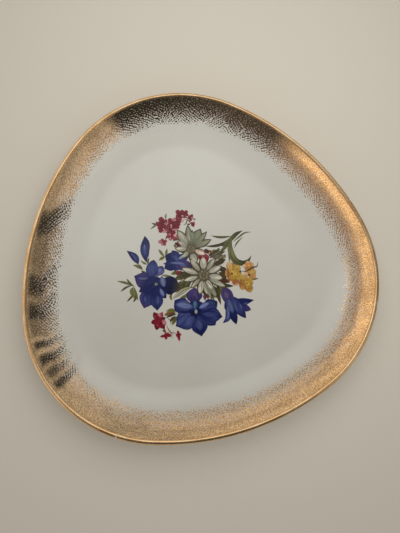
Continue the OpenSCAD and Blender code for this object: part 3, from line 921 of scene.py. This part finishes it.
def gentian_buds():
    p = Painting(2)
    dark = (DEEP_NAVY, ROYAL, NAVY, DEEP_NAVY)
    p.stroke([(-27.4, 6.4), (-26.6, 12.5), (-24.6, 18), (-23.9, 22.2)], 5.6, dark, 1, 0.95, 1.0, NAVY)
    p.stroke([(-25.4, 9), (-24.1, 14.5), (-23.8, 21.4)], 1.5, (NAVY, VIOLET, DEEP_NAVY), 3, 1.0, 1.0)
    p.glow([(-27, 10), (-26.2, 14.4), (-25.2, 17.6)], 2.8, MID_BLUE, ROYAL, 2)
    p.glow([(-26.2, 14), (-25.4, 17.4)], 1.1, SKY, MID_BLUE, 3)
    p.stroke([(-32.2, 6.6), (-33.2, 11.4), (-36.6, 16.5)], 4.2, dark, 1, 0.95, 1.0, NAVY)
    p.glow([(-32.6, 8.6), (-33.4, 12), (-35, 14.6)], 1.5, MID_BLUE, ROYAL, 2)
    p.stroke([(-34, 8), (-34.4, 11.6), (-35.8, 14.6)], 0.7, (DEEP_NAVY, NAVY), 2)
    p.piece("gentian_buds", "blue_enamel")


def edelweiss_bracts(node, ground, centre, radius, bracts):
    """Woolly bracts round the florets, over the dark that shows between them."""
    p = Painting(ground)
    p.dot(centre, 2 * radius, UMBER, 0, UMBER)
    for i, (root, tip, width, face) in enumerate(bracts):
        root, tip = Vector(root), Vector(tip)
        width *= 1.15
        start = root.lerp(Vector(centre), 0.5)
        p.stroke(
            [start, tip + (tip - root) * 0.1], width + 1.3, (UMBER, UMBER, UMBER), 0, 1.1, 0.9, DARK_GREEN
        )
        p.stroke([start, tip], width, (UMBER, face, face, face), 1 + i % 2, 1.15, 0.8, GREY_GREEN)
        light = tuple(1.42 * v for v in face[:3])
        p.glow([root.lerp(tip, 0.3), root.lerp(tip, 1.0)], width * 0.8, light, face, 3)
        side = (tip - root).normalized() * width
        vein = Vector((-side.y, side.x)) * 0.2
        p.stroke([root + vein * 0.5, root.lerp(tip, 0.8) + vein], 0.3, (TAUPE, GREY_GREEN), 4)
    p.piece(node, "white_enamel", "bracts")


def edelweiss_florets(node, ground, centre, radius):
    """The cluster of small woolly florets in the middle of an edelweiss."""
    p = Painting(ground)
    p.dot(centre, radius, ink(82, 76, 60), 0, UMBER)
    spots = [(0, 0)]
    spots += [tuple(direction(math.radians(51 * i)) * radius * 0.56) for i in range(7)]
    for i, (x, y) in enumerate(spots):
        x, y = centre[0] + x, centre[1] + y
        tall = radius * (0.36 + 0.05 * (i % 3))
        pale = ink(112, 105, 84) if i % 2 else ink(96, 90, 70)
        p.stroke(
            [(x, y - tall), (x + 0.2, y + tall)], radius * 0.34, (UMBER, pale, pale), 1 + i % 2, 1.0, 0.9,
            TAUPE
        )
        p.stroke([(x + 0.3, y - tall * 0.5), (x + 0.4, y + tall * 0.6)], 0.3, (pale, ink(138, 128, 96)), 3)
    p.piece(node, "yellow_enamel", "florets")


def edelweiss_large():
    node, ground, centre, radius = "edelweiss_large", 5, (3.0, -10.8), 4.0
    edelweiss_bracts(node, ground, centre, radius, [
        ((4.4, -6.6), (5.8, -0.4), 3.6, CREAM), ((1.2, -7.4), (-1.6, 0.4), 2.6, WOOL),
        ((6.6, -7.6), (12.2, -3.2), 2.3, WOOL),
        ((-0.6, -8.8), (-8.0, -3.2), 2.7, CREAM), ((7.0, -9.6), (14.4, -8.8), 2.9, CREAM),
        ((-1.0, -10.6), (-8.9, -10.6), 2.4, CREAM),
        ((6.6, -12.4), (13.2, -15.6), 3.1, CREAM), ((-0.8, -12.6), (-5.9, -15.7), 1.9, WOOL),
        ((6.0, -15.0), (13.4, -20.8), 2.5, WOOL),
        ((0.4, -14.2), (-2.3, -20.6), 3.0, CREAM), ((4.9, -17.4), (6.3, -25.2), 2.6, GREY_GREEN),
        ((1.2, -15.0), (1.9, -22.4), 1.9, WOOL),
        ((3.6, -14.4), (5.6, -20.2), 2.6, CREAM), ((2.2, -17.0), (3.4, -25.2), 1.6, GREY_GREEN)
    ])
    edelweiss_florets(node, ground + 4, centre, radius)


def edelweiss_small():
    green = ink(100, 104, 86)
    node, ground, centre, radius = "edelweiss_small", 3, (0.2, 6.4), 3.0
    edelweiss_bracts(node, ground, centre, radius, [
        ((-1.0, 9.6), (-3.9, 19.3), 3.6, WOOL), ((0.6, 10), (2.6, 20.4), 2.7, GREY_GREEN),
        ((1.0, 9.0), (1.2, 16.6), 1.7, WOOL),
        ((2.6, 9.4), (9.0, 16.2), 4.6, green), ((2.0, 9.4), (4.3, 16.8), 2.8, green),
        ((3.8, 7.6), (12.0, 13.6), 2.2, GREY_GREEN),
        ((3.6, 7.0), (13.0, 8.5), 2.6, GREY_GREEN), ((3.0, 5.4), (7.4, 1.0), 2.9, BLUSH),
        ((0.2, 3.8), (0.4, -2.4), 3.8, WOOL),
        ((-1.8, 5.4), (-5.6, 3.2), 2.3, WOOL), ((-2.4, 7.4), (-8.2, 9.4), 2.5, CREAM),
        ((-2.0, 8.8), (-5.8, 13.2), 2.4, WOOL)
    ])
    edelweiss_florets(node, ground + 4, centre, radius)


def rose_lobes(p, place, radius, turn, inks, pale=()):
    """One alpine rose: five pointed lobes of uneven length round a dark throat. Those in pale catch the
    light."""
    place = Vector(place)
    radius *= 1.22
    p.dot(place, radius * 0.6, inks[0], 0, inks[0])
    for i in range(5):
        way = direction(math.radians(turn + 72 * i + 9 * math.sin(5.0 * i + turn)))
        reach = radius * (0.95 + 0.2 * math.sin(3.7 * i + turn))
        side = Vector((-way.y, way.x)) * radius * 0.12
        lobe = (inks[0], ROSE, PINK) if i in pale else inks
        p.stroke(
            [place, place + way * reach * 0.55 + side, place + way * reach], radius * 0.82, lobe, 1 + i % 2,
            1.3, 0.9
        )
        fold = (DEEP_RED, inks[0]) if i not in pale else (PINK, BLUSH)
        p.stroke([place, place + way * reach * 0.7 + side], radius * 0.16, fold, 3)
    p.dot(place, radius * 0.18, DEEP_RED, 4)


def alpine_rose_upper():
    p = Painting(2)
    red = (DEEP_RED, CRIMSON, CRIMSON)
    soft = (CRIMSON, ROSE, CRIMSON)
    for place, radius, turn, inks, pale in (
        ((-11.4, 26.4), 3.4, 78, red, ()), ((-12.6, 23.9), 2.6, 150, red, (2,)),
        ((-9.2, 24.0), 2.8, 20, soft, (1,)),
        ((-6.3, 25.0), 3.1, 85, red, (2,)), ((-7.8, 21.0), 3.4, 200, red, (2, 3)),
        ((-4.4, 22.6), 2.5, 300, red, ()),
        ((-2.8, 25.4), 2.9, 40, red, (1,)), ((0.3, 28.4), 3.0, 95, red, (3,)),
        ((2.8, 28.2), 2.2, 20, red, ()),
        ((-9.0, 17.4), 2.5, 230, soft, (0, 3)), ((5.8, 25.2), 1.7, 100, red, (3,)),
        ((5.8, 20.8), 1.3, 260, red, ()),
        ((-14.5, 15.5), 2.1, 140, soft, (0, 1)), ((-6.0, 11.5), 1.7, 60, (DEEP_RED, DEEP_RED, DEEP_RED), ())
    ):
        rose_lobes(p, place, radius, turn, inks, pale)
    p.stroke([(-7.8, 26.4), (-8, 22), (-8.4, 18.4)], 1.2, (DEEP_RED, DEEP_RED, CRIMSON), 5)
    p.stroke([(-11.6, 20.4), (-8.6, 19.8), (-5, 18.8)], 1.4, (DEEP_RED, CRIMSON, DEEP_RED), 5)
    for points, width, light, around in (
        ([(-13.2, 21.4), (-10.6, 21.6)], 1.6, PINK, ROSE), ([(-5.6, 19.8), (-5.2, 21.4)], 1.8, PINK, ROSE),
        ([(-6.9, 16.4), (-5.8, 18.2)], 2.6, ink(198, 150, 152), ROSE),
        ([(-9, 26.6), (-8.4, 25)], 1.2, PINK, ROSE),
        ([(-0.6, 24.2), (1.2, 25)], 1.7, ink(196, 160, 156), ROSE),
        ([(-2.2, 26.6), (-0.6, 26.8)], 1.2, ROSE, CRIMSON),
        ([(-10, 24.8), (-9, 24)], 1.1, ROSE, CRIMSON), ([(-5, 17.2), (-5.6, 14.4)], 1.6, ROSE, TAUPE)
    ):
        p.glow(points, width, light, around, 5)
    for points, width, inks in (
        ([(1.2, 25.6), (4.2, 23.6), (5, 21.6)], 0.7, (CRIMSON, UMBER, CRIMSON)),
        ([(2.4, 27), (4.4, 24.8)], 0.6, (UMBER, UMBER)),
        ([(0, 22), (2, 22.4), (3.8, 25)], 0.6, (UMBER, BROWN)),
        ([(6.4, 24), (8.6, 23.4)], 0.8, (ROSE, UMBER)),
        ([(7.4, 22.8), (6.4, 21)], 1.0, (PINK, ROSE, CRIMSON)),
        ([(-12.6, 16.6), (-11.2, 18)], 0.8, (UMBER, DEEP_RED)),
        ([(3.6, -2), (4.6, 2)], 2.4, (DEEP_RED, CRIMSON, DEEP_RED)),
        ([(7.2, -4.6), (8.4, 1.2)], 2.8, (DEEP_RED, CRIMSON, ROSE)),
        ([(9.6, 0.2), (9.4, 3.8)], 2.2, (RUSSET, DEEP_RED, UMBER)),
        ([(6, -1), (7, 1.6)], 1.6, (ROSE, CRIMSON)),
        ([(-12.4, -3.4), (-10.4, -6.2)], 3.0, (ROSE, CRIMSON, UMBER)),
        ([(-9.6, -4), (-8.8, -6.8)], 1.8, (DEEP_RED, UMBER))
    ):
        p.stroke(points, width, inks, 1)
    p.piece("alpine_rose_upper", "crimson_enamel")


def alpine_rose_lower():
    p = Painting(1)
    c = (-30.2, -29.0)
    red = (DEEP_RED, CRIMSON, DEEP_RED)
    for tip, width, inks in (
        ((-31.4, -23.2), 3.4, red), ((-34.6, -28.7), 3.2, red), ((-32.8, -33.6), 3.6, red),
        ((-28.0, -34.4), 3.4, red),
        ((-26.4, -24.6), 2.8, (CRIMSON, ROSE, ROSE)), ((-25.6, -28.3), 2.4, (DEEP_RED, DEEP_RED, UMBER))
    ):
        p.stroke([c, tip], width, inks, 1, 1.1, 0.8, DEEP_RED)
    p.dot(c, 2.4, CRIMSON, 2, DEEP_RED)
    p.stroke([(-27.6, -28.8), (-27, -32.6)], 2.6, (ROSE, PINK, ROSE), 2, 1.0, 0.8, CRIMSON)
    for points, width, light, around in (
        ([(-29.6, -24.4), (-28, -27)], 1.7, PINK, ROSE), ([(-32, -24.6), (-31, -27)], 1.1, ROSE, CRIMSON),
        ([(-32, -30.4), (-30.6, -32)], 1.3, ROSE, CRIMSON),
        ([(-28, -29.8), (-27.2, -31.8)], 1.5, PINK, ROSE)
    ):
        p.glow(points, width, light, around, 3)
    p.dot((-29, -30.7), 0.7, DEEP_RED, 4)
    for points, width, inks in (
        ([(-28.6, -33), (-28.2, -35.4), (-28.2, -37.8)], 1.2, (DEEP_RED, RUSSET, DEEP_RED)),
        ([(-26.4, -31.8), (-25.8, -36), (-24, -39.6)], 0.7, (ROSE, RUSSET, UMBER)),
        ([(-25, -37), (-22.4, -39)], 0.5, (RUSSET, ROSE)),
        ([(-25.4, -39), (-25.2, -41.4)], 0.5, (RUSSET, BLUSH)),
        ([(-25.2, -28.2), (-23.4, -31), (-24.2, -33.6)], 0.7, (DEEP_RED, RUSSET, BLUSH))
    ):
        p.stroke(points, width, inks, 0)
    p.dot((-28.9, -35.3), 0.65, UMBER, 1)
    for root, tip, width in (
        ((-28.2, -38.2), (-32, -38), 1.7), ((-28.2, -38), (-25, -39.4), 2.2),
        ((-28.4, -38), (-28.9, -40.7), 2.0),
        ((-28.2, -39), (-29, -36.9), 2.4), ((-28.2, -38.6), (-26.4, -36.8), 1.6),
        ((-21.2, -40), (-20.9, -37.4), 1.7),
        ((-21.2, -39), (-22.8, -40.8), 1.7), ((-21.2, -39), (-21.8, -43.8), 1.9),
        ((-21.2, -39.4), (-19.6, -40.8), 1.4)
    ):
        p.stroke([root, tip], width, (DEEP_RED, CRIMSON, ROSE), 1, 1.0, 0.9, ROSE)
    p.piece("alpine_rose_lower", "crimson_enamel")


def yellow_flowers():
    p = Painting(2)
    gold = (OCHRE, GOLDEN, STRAW)
    warm = (RUSSET, ORANGE, STRAW)
    for points, width in (
        ([(20, -8), (20.6, -21.4)], 9.0), ([(23.6, -18), (27.2, -27)], 7.6),
        ([(30.6, -11), (30.2, -21)], 5.6)
    ):
        p.stroke(points, width, (STRAW, OCHRE, RUSSET), 0, 1.0, 0.8, ORANGE)
    for points, width, inks, level in (
        ([(18.6, -14), (15.4, -14.2)], 5.4, (RUSSET, ORANGE, STRAW), 0),
        ([(18, -10), (16.8, -19)], 2.2, (RUSSET, RUSSET, RUSSET), 1),
        ([(20, -14), (19.4, -7.2)], 4.2, (GOLDEN, STRAW, PEACH), 1),
        ([(20, -13), (22.4, -8.6)], 4.2, (GOLDEN, STRAW, LEAF), 0),
        ([(20.4, -14), (25.6, -11.4)], 4.8, gold, 1), ([(20, -15), (25.2, -18.6)], 5.4, gold, 2),
        ([(20, -15), (18.4, -18.8)], 4.6, (GOLDEN, GOLDEN, OCHRE), 2),
        ([(21, -17), (19.6, -22.6)], 4.4, (OCHRE, RUSSET, PEACH), 1),
        ([(23.4, -18.6), (23.0, -26.2)], 3.2, (OCHRE, RUSSET, STRAW), 2),
        ([(25, -19), (22, -25.6)], 3.4, warm, 1),
        ([(26.4, -22), (25.6, -17.4)], 4.0, gold, 3), ([(26.4, -22.4), (30.6, -22.4)], 5.0, gold, 2),
        ([(26.4, -22), (27.0, -28.8)], 4.6, (GOLDEN, GOLDEN, OCHRE, STRAW), 3),
        ([(26.2, -22), (23.6, -20.6)], 3.6, (OCHRE, OCHRE), 3),
        ([(29.4, -18), (33.8, -17.2)], 4.4, (STRAW, STRAW, GOLDEN), 1),
        ([(29.4, -18), (32.4, -21.6)], 3.8, warm, 1),
        ([(29.4, -18), (26.4, -17.4)], 3.4, (STRAW, PEACH, PEACH), 1),
        ([(29.4, -18), (30, -14.8)], 3.2, (STRAW, ORANGE, PEACH), 0),
        ([(30.8, -14.4), (30.6, -10)], 3.8, (ORANGE, ORANGE, PEACH), 2),
        ([(30.6, -13.2), (34, -13)], 3.0, (ORANGE, ORANGE, PEACH), 1),
        ([(30.6, -13), (27, -12)], 3.2, (ORANGE, PEACH, PEACH), 1),
        ([(30, -13.6), (28, -15.4)], 2.6, (RUSSET, ORANGE), 2)
    ):
        p.stroke(points, width, inks, level, 1.25, 0.7, OCHRE if inks is gold else RUSSET)
    p.glow([(19, -13), (22.6, -16.6)], 3.6, ink(182, 152, 70), GOLDEN, 4)
    p.glow([(25.4, -21.4), (27.6, -24.6)], 2.8, ink(184, 150, 72), GOLDEN, 4)
    p.glow([(18, -20), (20.8, -20.4)], 2.6, ink(150, 84, 44), RUSSET, 3)
    p.glow([(29.8, -12.2), (31.6, -13.4)], 2.2, ink(190, 140, 82), ORANGE, 4)
    for x, y, radius in ((19.6, -14.7, 0.75), (26.3, -22.8, 0.55), (29.1, -18.3, 0.75), (24.7, -15, 0.8)):
        p.dot((x, y), radius, BROWN, 5, OCHRE)
    for root, tip in (
        ((21.5, -11), (22.4, -9.2)), ((22.6, -13.6), (24.6, -12.4)), ((22.6, -16.8), (24, -17.8)),
        ((18.8, -17), (18.4, -18.4)),
        ((27.8, -23.4), (29.6, -23.4)), ((26.6, -25), (27, -27.4)), ((31, -18.4), (32.8, -18)),
        ((30.4, -19.6), (31.6, -20.8))
    ):
        p.stroke([root, tip], 0.35, (OCHRE, RUSSET), 4)
    p.piece("yellow_flowers", "yellow_enamel")


def grass_blades():
    p = Painting(1)
    green = (DARK_GREEN, OLIVE, DARK_GREEN)
    for points, width, inks, level in (
        ([(26.4, 7.2), (22, 7.8), (18, 9), (14.2, 11.1)], 1.5, green, 1),
        ([(8.6, 6), (14, 4.4), (19, 4.2), (24, 6)], 1.8, (UMBER, UMBER, DARK_GREEN, OLIVE), 1),
        ([(20, 4.6), (25, 5.4), (29.4, 7.6), (33.9, 8.5)], 2.6, (OLIVE, OLIVE, DARK_GREEN, DARK_GREEN), 1),
        ([(25.6, 3.2), (30, 5.2), (34.6, 6.8), (38.9, 6.1)], 1.0, (DARK_GREEN, OLIVE, OLIVE, LEAF), 1),
        ([(25.4, -0.4), (28.6, 2.6), (33, 4.9)], 0.9, (DARK_GREEN, OLIVE, LEAF), 1),
        ([(26, 4.6), (22, 2.6), (18.4, 0.6), (14.8, -1.8)], 1.9, green, 1),
        ([(25, 6.4), (21.4, 3.6), (18, 3.4)], 2.6, green, 0),
        ([(21.8, 0.6), (21.2, -4), (20, -8.4)], 0.9, (OLIVE, DARK_GREEN, OLIVE), 0),
        (
            [(24.4, -14.6), (28.4, -15.8), (32.2, -14.8), (35.2, -14.8), (36.6, -12.3)],
            0.8, (BROWN, UMBER, BROWN, UMBER), 7
        ),
        ([(29.6, -21.3), (31.8, -21.9), (33.9, -22)], 0.8, (BROWN, UMBER), 6)
    ):
        p.stroke(points, width, inks, level, 1.0, 1.0, DARK_GREEN)
    sickle = [(26.6, 7), (23.8, 2.6), (22.9, -3), (24, -8), (27.6, -10.5), (31.4, -10), (34.1, -7.5)]
    p.stroke(
        sickle, 3.9, (OLIVE, OLIVE, LEAF, OLIVE, DARK_GREEN, DARK_GREEN, OLIVE), 2, 0.85, 1.0, DARK_GREEN
    )
    p.glow([(24, 1.4), (23.6, -2.6), (24.2, -6)], 1.5, LEAF, OLIVE, 3)
    p.stroke([(25.4, 4), (22.4, -2), (23.2, -7.6), (26.4, -10.8)], 0.6, (DARK_GREEN, DARK_GREEN), 3)
    p.piece("grass_blades", "green_enamel")


def leaf_sprigs():
    """The leaves and stalks behind the flowers, each with a dark midrib."""
    p = Painting(0)
    sage = (OLIVE, LEAF, OLIVE)
    dark = (DARK_GREEN, OLIVE, DARK_GREEN)
    warm = (UMBER, TAUPE, UMBER)
    deep = (UMBER, UMBER, DARK_GREEN)
    for points, width, inks, level in (
        ([(-37.6, -5.8), (-42, -2.2), (-47.1, 0.7)], 1.6, sage, 0),
        ([(-38.2, -5), (-40, -3), (-41.3, 0.5)], 1.3, dark, 1),
        ([(-39, -4.4), (-43, -4.6), (-46.8, -6.1)], 1.3, dark, 1),
        ([(-38.2, -5.6), (-38.6, -9.6), (-38.4, -14)], 2.0, sage, 0),
        ([(-38.4, -5.4), (-40.4, -8), (-39.2, -13.4)], 2.6, (OLIVE, LEAF, MOSS), 1),
        ([(-39, -9.4), (-41.6, -11), (-44.8, -12.9)], 1.3, dark, 1),
        ([(-38.8, -10.4), (-39.6, -12.6), (-41.3, -14.2)], 1.3, dark, 1),
        ([(-35.6, 7.2), (-33, 5.6), (-30.8, 3)], 1.9, sage, 0),
        ([(-32.6, 7), (-31.6, 5), (-30.8, 2.4)], 1.5, (MOSS, OLIVE), 1),
        ([(-31.8, 2.6), (-30.6, 1), (-29.4, -1)], 1.9, dark, 1),
        ([(-30.5, 8.8), (-29, 6.6), (-27.2, 5)], 1.2, (LEAF, OLIVE), 1),
        ([(-24.8, 8.9), (-26.2, 7), (-27, 5)], 1.2, dark, 1),
        ([(-16, 6.2), (-17.2, 9), (-18.3, 12.1)], 1.7, sage, 0),
        ([(-15.6, 6.2), (-14.4, 8.6), (-13.3, 10.9)], 1.5, sage, 0),
        ([(-15.4, 6.4), (-17.6, 6.2), (-20, 5.4)], 1.9, (OLIVE, MOSS, MOSS), 1),
        ([(-13.6, 27), (-16.4, 26.4), (-19.5, 25.1)], 1.0, dark, 1),
        ([(-13.4, 27), (-15.6, 27.2), (-17.9, 28.6)], 1.3, dark, 1),
        ([(-13.8, 26.6), (-14.8, 27.6), (-14.6, 28.9)], 1.1, dark, 0),
        ([(-8.6, 28.2), (-8.6, 30), (-7.5, 31.9)], 1.1, sage, 1),
        ([(2.4, 21.6), (4.6, 21.5)], 1.2, deep, 1),
        ([(-9, 14.2), (-6.6, 14.8), (-4.8, 14)], 1.5, (OLIVE, UMBER, TAUPE), 0),
        ([(-8.9, 12.2), (-7.6, 9.8)], 1.4, dark, 0),
        ([(-6.6, 10.8), (-3.4, 9.6), (-1.6, 7.4)], 2.0, (OLIVE, UMBER, UMBER), 0),
        ([(-21.6, -3), (-18, -5), (-14.4, -7)], 1.6, (GREY_GREEN, LEAF, OLIVE), 0),
        ([(-2, -8), (-8, -7.4), (-14.6, -8.4)], 4.4, (UMBER, UMBER, OLIVE), 0),
        ([(-3, -10), (-10, -13.6), (-16, -15.6)], 5.6, (UMBER, UMBER, OLIVE), 0),
        ([(-2, -9), (-9, -12), (-16.4, -13.6)], 5.0, (UMBER, OLIVE, UMBER), 1),
        ([(-8, -9.6), (-11.6, -10.6)], 1.5, (PALE_LEAF, GREY_GREEN), 2),
        ([(-10, -4.4), (-15.6, -4.6)], 2.2, (UMBER, OLIVE, LEAF), 1),
        ([(-11, -15.4), (-9.2, -12.2)], 1.0, deep, 2),
        ([(-4.6, -15), (-11.4, -16.2), (-19.4, -19.2)], 2.9, (LEAF, PALE_LEAF, CREAM, CREAM), 2),
        ([(-5.4, -16.4), (-10.6, -19.4), (-14.6, -19.8)], 1.9, (OLIVE, MOSS, OLIVE), 1),
        ([(-17.4, -15.4), (-19.2, -17), (-19.6, -19.8)], 1.5, (UMBER, MOSS, OLIVE), 0),
        ([(-18.4, -26.8), (-21, -25.2), (-24.4, -24.8)], 2.2, (OLIVE, MOSS, LEAF), 1),
        ([(-18.4, -28.2), (-21.6, -27.8), (-25.6, -28.4)], 1.7, deep, 1),
        ([(-18.8, -29.4), (-21, -31), (-23.2, -33.8)], 2.4, (OLIVE, OLIVE, LEAF), 1),
        ([(-19, -27), (-22.6, -26.6), (-26.2, -26.8)], 2.6, (UMBER, RUSSET, TAUPE), 0),
        ([(-19.6, -29), (-22, -30), (-24, -31.4)], 1.5, deep, 2),
        ([(9, -1), (12, 0.4), (17.6, 1.4)], 2.6, deep, 0),
        ([(9, -1.8), (14, -1), (19.8, -0.6)], 3.2, (UMBER, TAUPE, UMBER), 0),
        ([(9, -4.4), (14, -3.4), (19.6, -3.4)], 3.6, warm, 0),
        ([(10, -6.6), (14.4, -6), (18.6, -5.4)], 3.4, deep, 1),
        ([(11.4, -9), (15.2, -11), (16.4, -15)], 3.6, deep, 1),
        ([(11, -15.6), (13.6, -17), (16.8, -19.4)], 3.2, (UMBER, DEEP_RED, BROWN), 1),
        ([(12, -11.6), (14, -14), (14.8, -18)], 3.4, (UMBER, BROWN, UMBER), 1),
        ([(12, -17.2), (14, -20.4), (18.4, -22.2)], 2.2, deep, 2),
        ([(12, 1), (14, 2.2)], 1.4, dark, 1), ([(15.4, 0.4), (16.6, 2.6)], 1.3, dark, 1),
        ([(8, 1.4), (9.4, 4.2)], 2.8, (UMBER, BROWN), 1),
        ([(10, 3), (12.6, 0.4)], 1.6, (BROWN, RUSSET), 1),
        ([(14, -4.2), (19.2, -2.2)], 0.5, (PALE_LEAF, GREY_GREEN), 2),
        ([(12.2, -4.6), (15, -3.8)], 1.5, (BLUSH, TAUPE), 2),
        ([(17.2, -5), (19.2, -2.4)], 1.8, (GREY_GREEN, TAUPE), 2),
        ([(7.4, -18), (7.8, -24), (7.6, -30.7)], 2.2, deep, 1),
        ([(9, -17), (9.4, -21), (8.6, -25.8)], 2.8, (UMBER, DARK_GREEN, MOSS), 0),
        ([(10.6, -17.6), (11.2, -21), (11.4, -24)], 2.8, (UMBER, TAUPE, UMBER), 1),
        ([(3.8, -20), (4.4, -23.6), (4.6, -26.9)], 2.2, (UMBER, OLIVE, LEAF), 1),
        ([(1.8, -20), (1.6, -23), (1.6, -25.3)], 2.2, (UMBER, BROWN, RUSSET), 0),
        ([(0, -16), (0.4, -20), (0.4, -22.6)], 2.2, deep, 0)
    ):
        p.stroke(points, width, inks, level, 1.15, 1.0, DARK_GREEN)
        near, far = Vector(points[0]), Vector(points[-1])
        if width > 1.2 and len(points) > 2:
            p.stroke(
                [near.lerp(far, 0.1), points[1], near.lerp(far, 0.9)], width * 0.14, (DARK_GREEN, UMBER),
                level + 1
            )
    p.piece("leaf_sprigs", "green_enamel")


# ---------------------------------------------------------------- the plate

BODY = next(iter(frame["bodies"]))
bpy.context.scene.view_settings.view_transform = "Standard"
photo_camera()
floor()
studio_world()
soft_light("window", place=(0.06, 0.11, 0.27), size=0.3, power=0.43, colour=(1.0, 0.985, 0.95))
porcelain_body()
GLAZE = glaze_material()
glaze_face(GLAZE)
glaze_back(GLAZE)
glaze_recess(GLAZE)
gilt_lip()
brocade_band()

# For each slot: how strong its veins, its brush streaks and its print grain are.
ENAMELS = {
    "blue_enamel": enamel_material("blue_transfer_enamel", 0.35, 0.30, 0.10),
    "white_enamel": enamel_material("white_transfer_enamel", 0.16, 0.14, 0.06),
    "crimson_enamel": enamel_material("crimson_transfer_enamel", 0.30, 0.28, 0.10),
    "yellow_enamel": enamel_material("yellow_transfer_enamel", 0.25, 0.22, 0.08),
    "green_enamel": enamel_material("green_transfer_enamel", 0.22, 0.28, 0.10)
}
leaf_sprigs()
grass_blades()
gentian_back()
gentian_left()
gentian_bell()
gentian_buds()
gentian_front()
alpine_rose_upper()
alpine_rose_lower()
yellow_flowers()
edelweiss_small()
edelweiss_large()
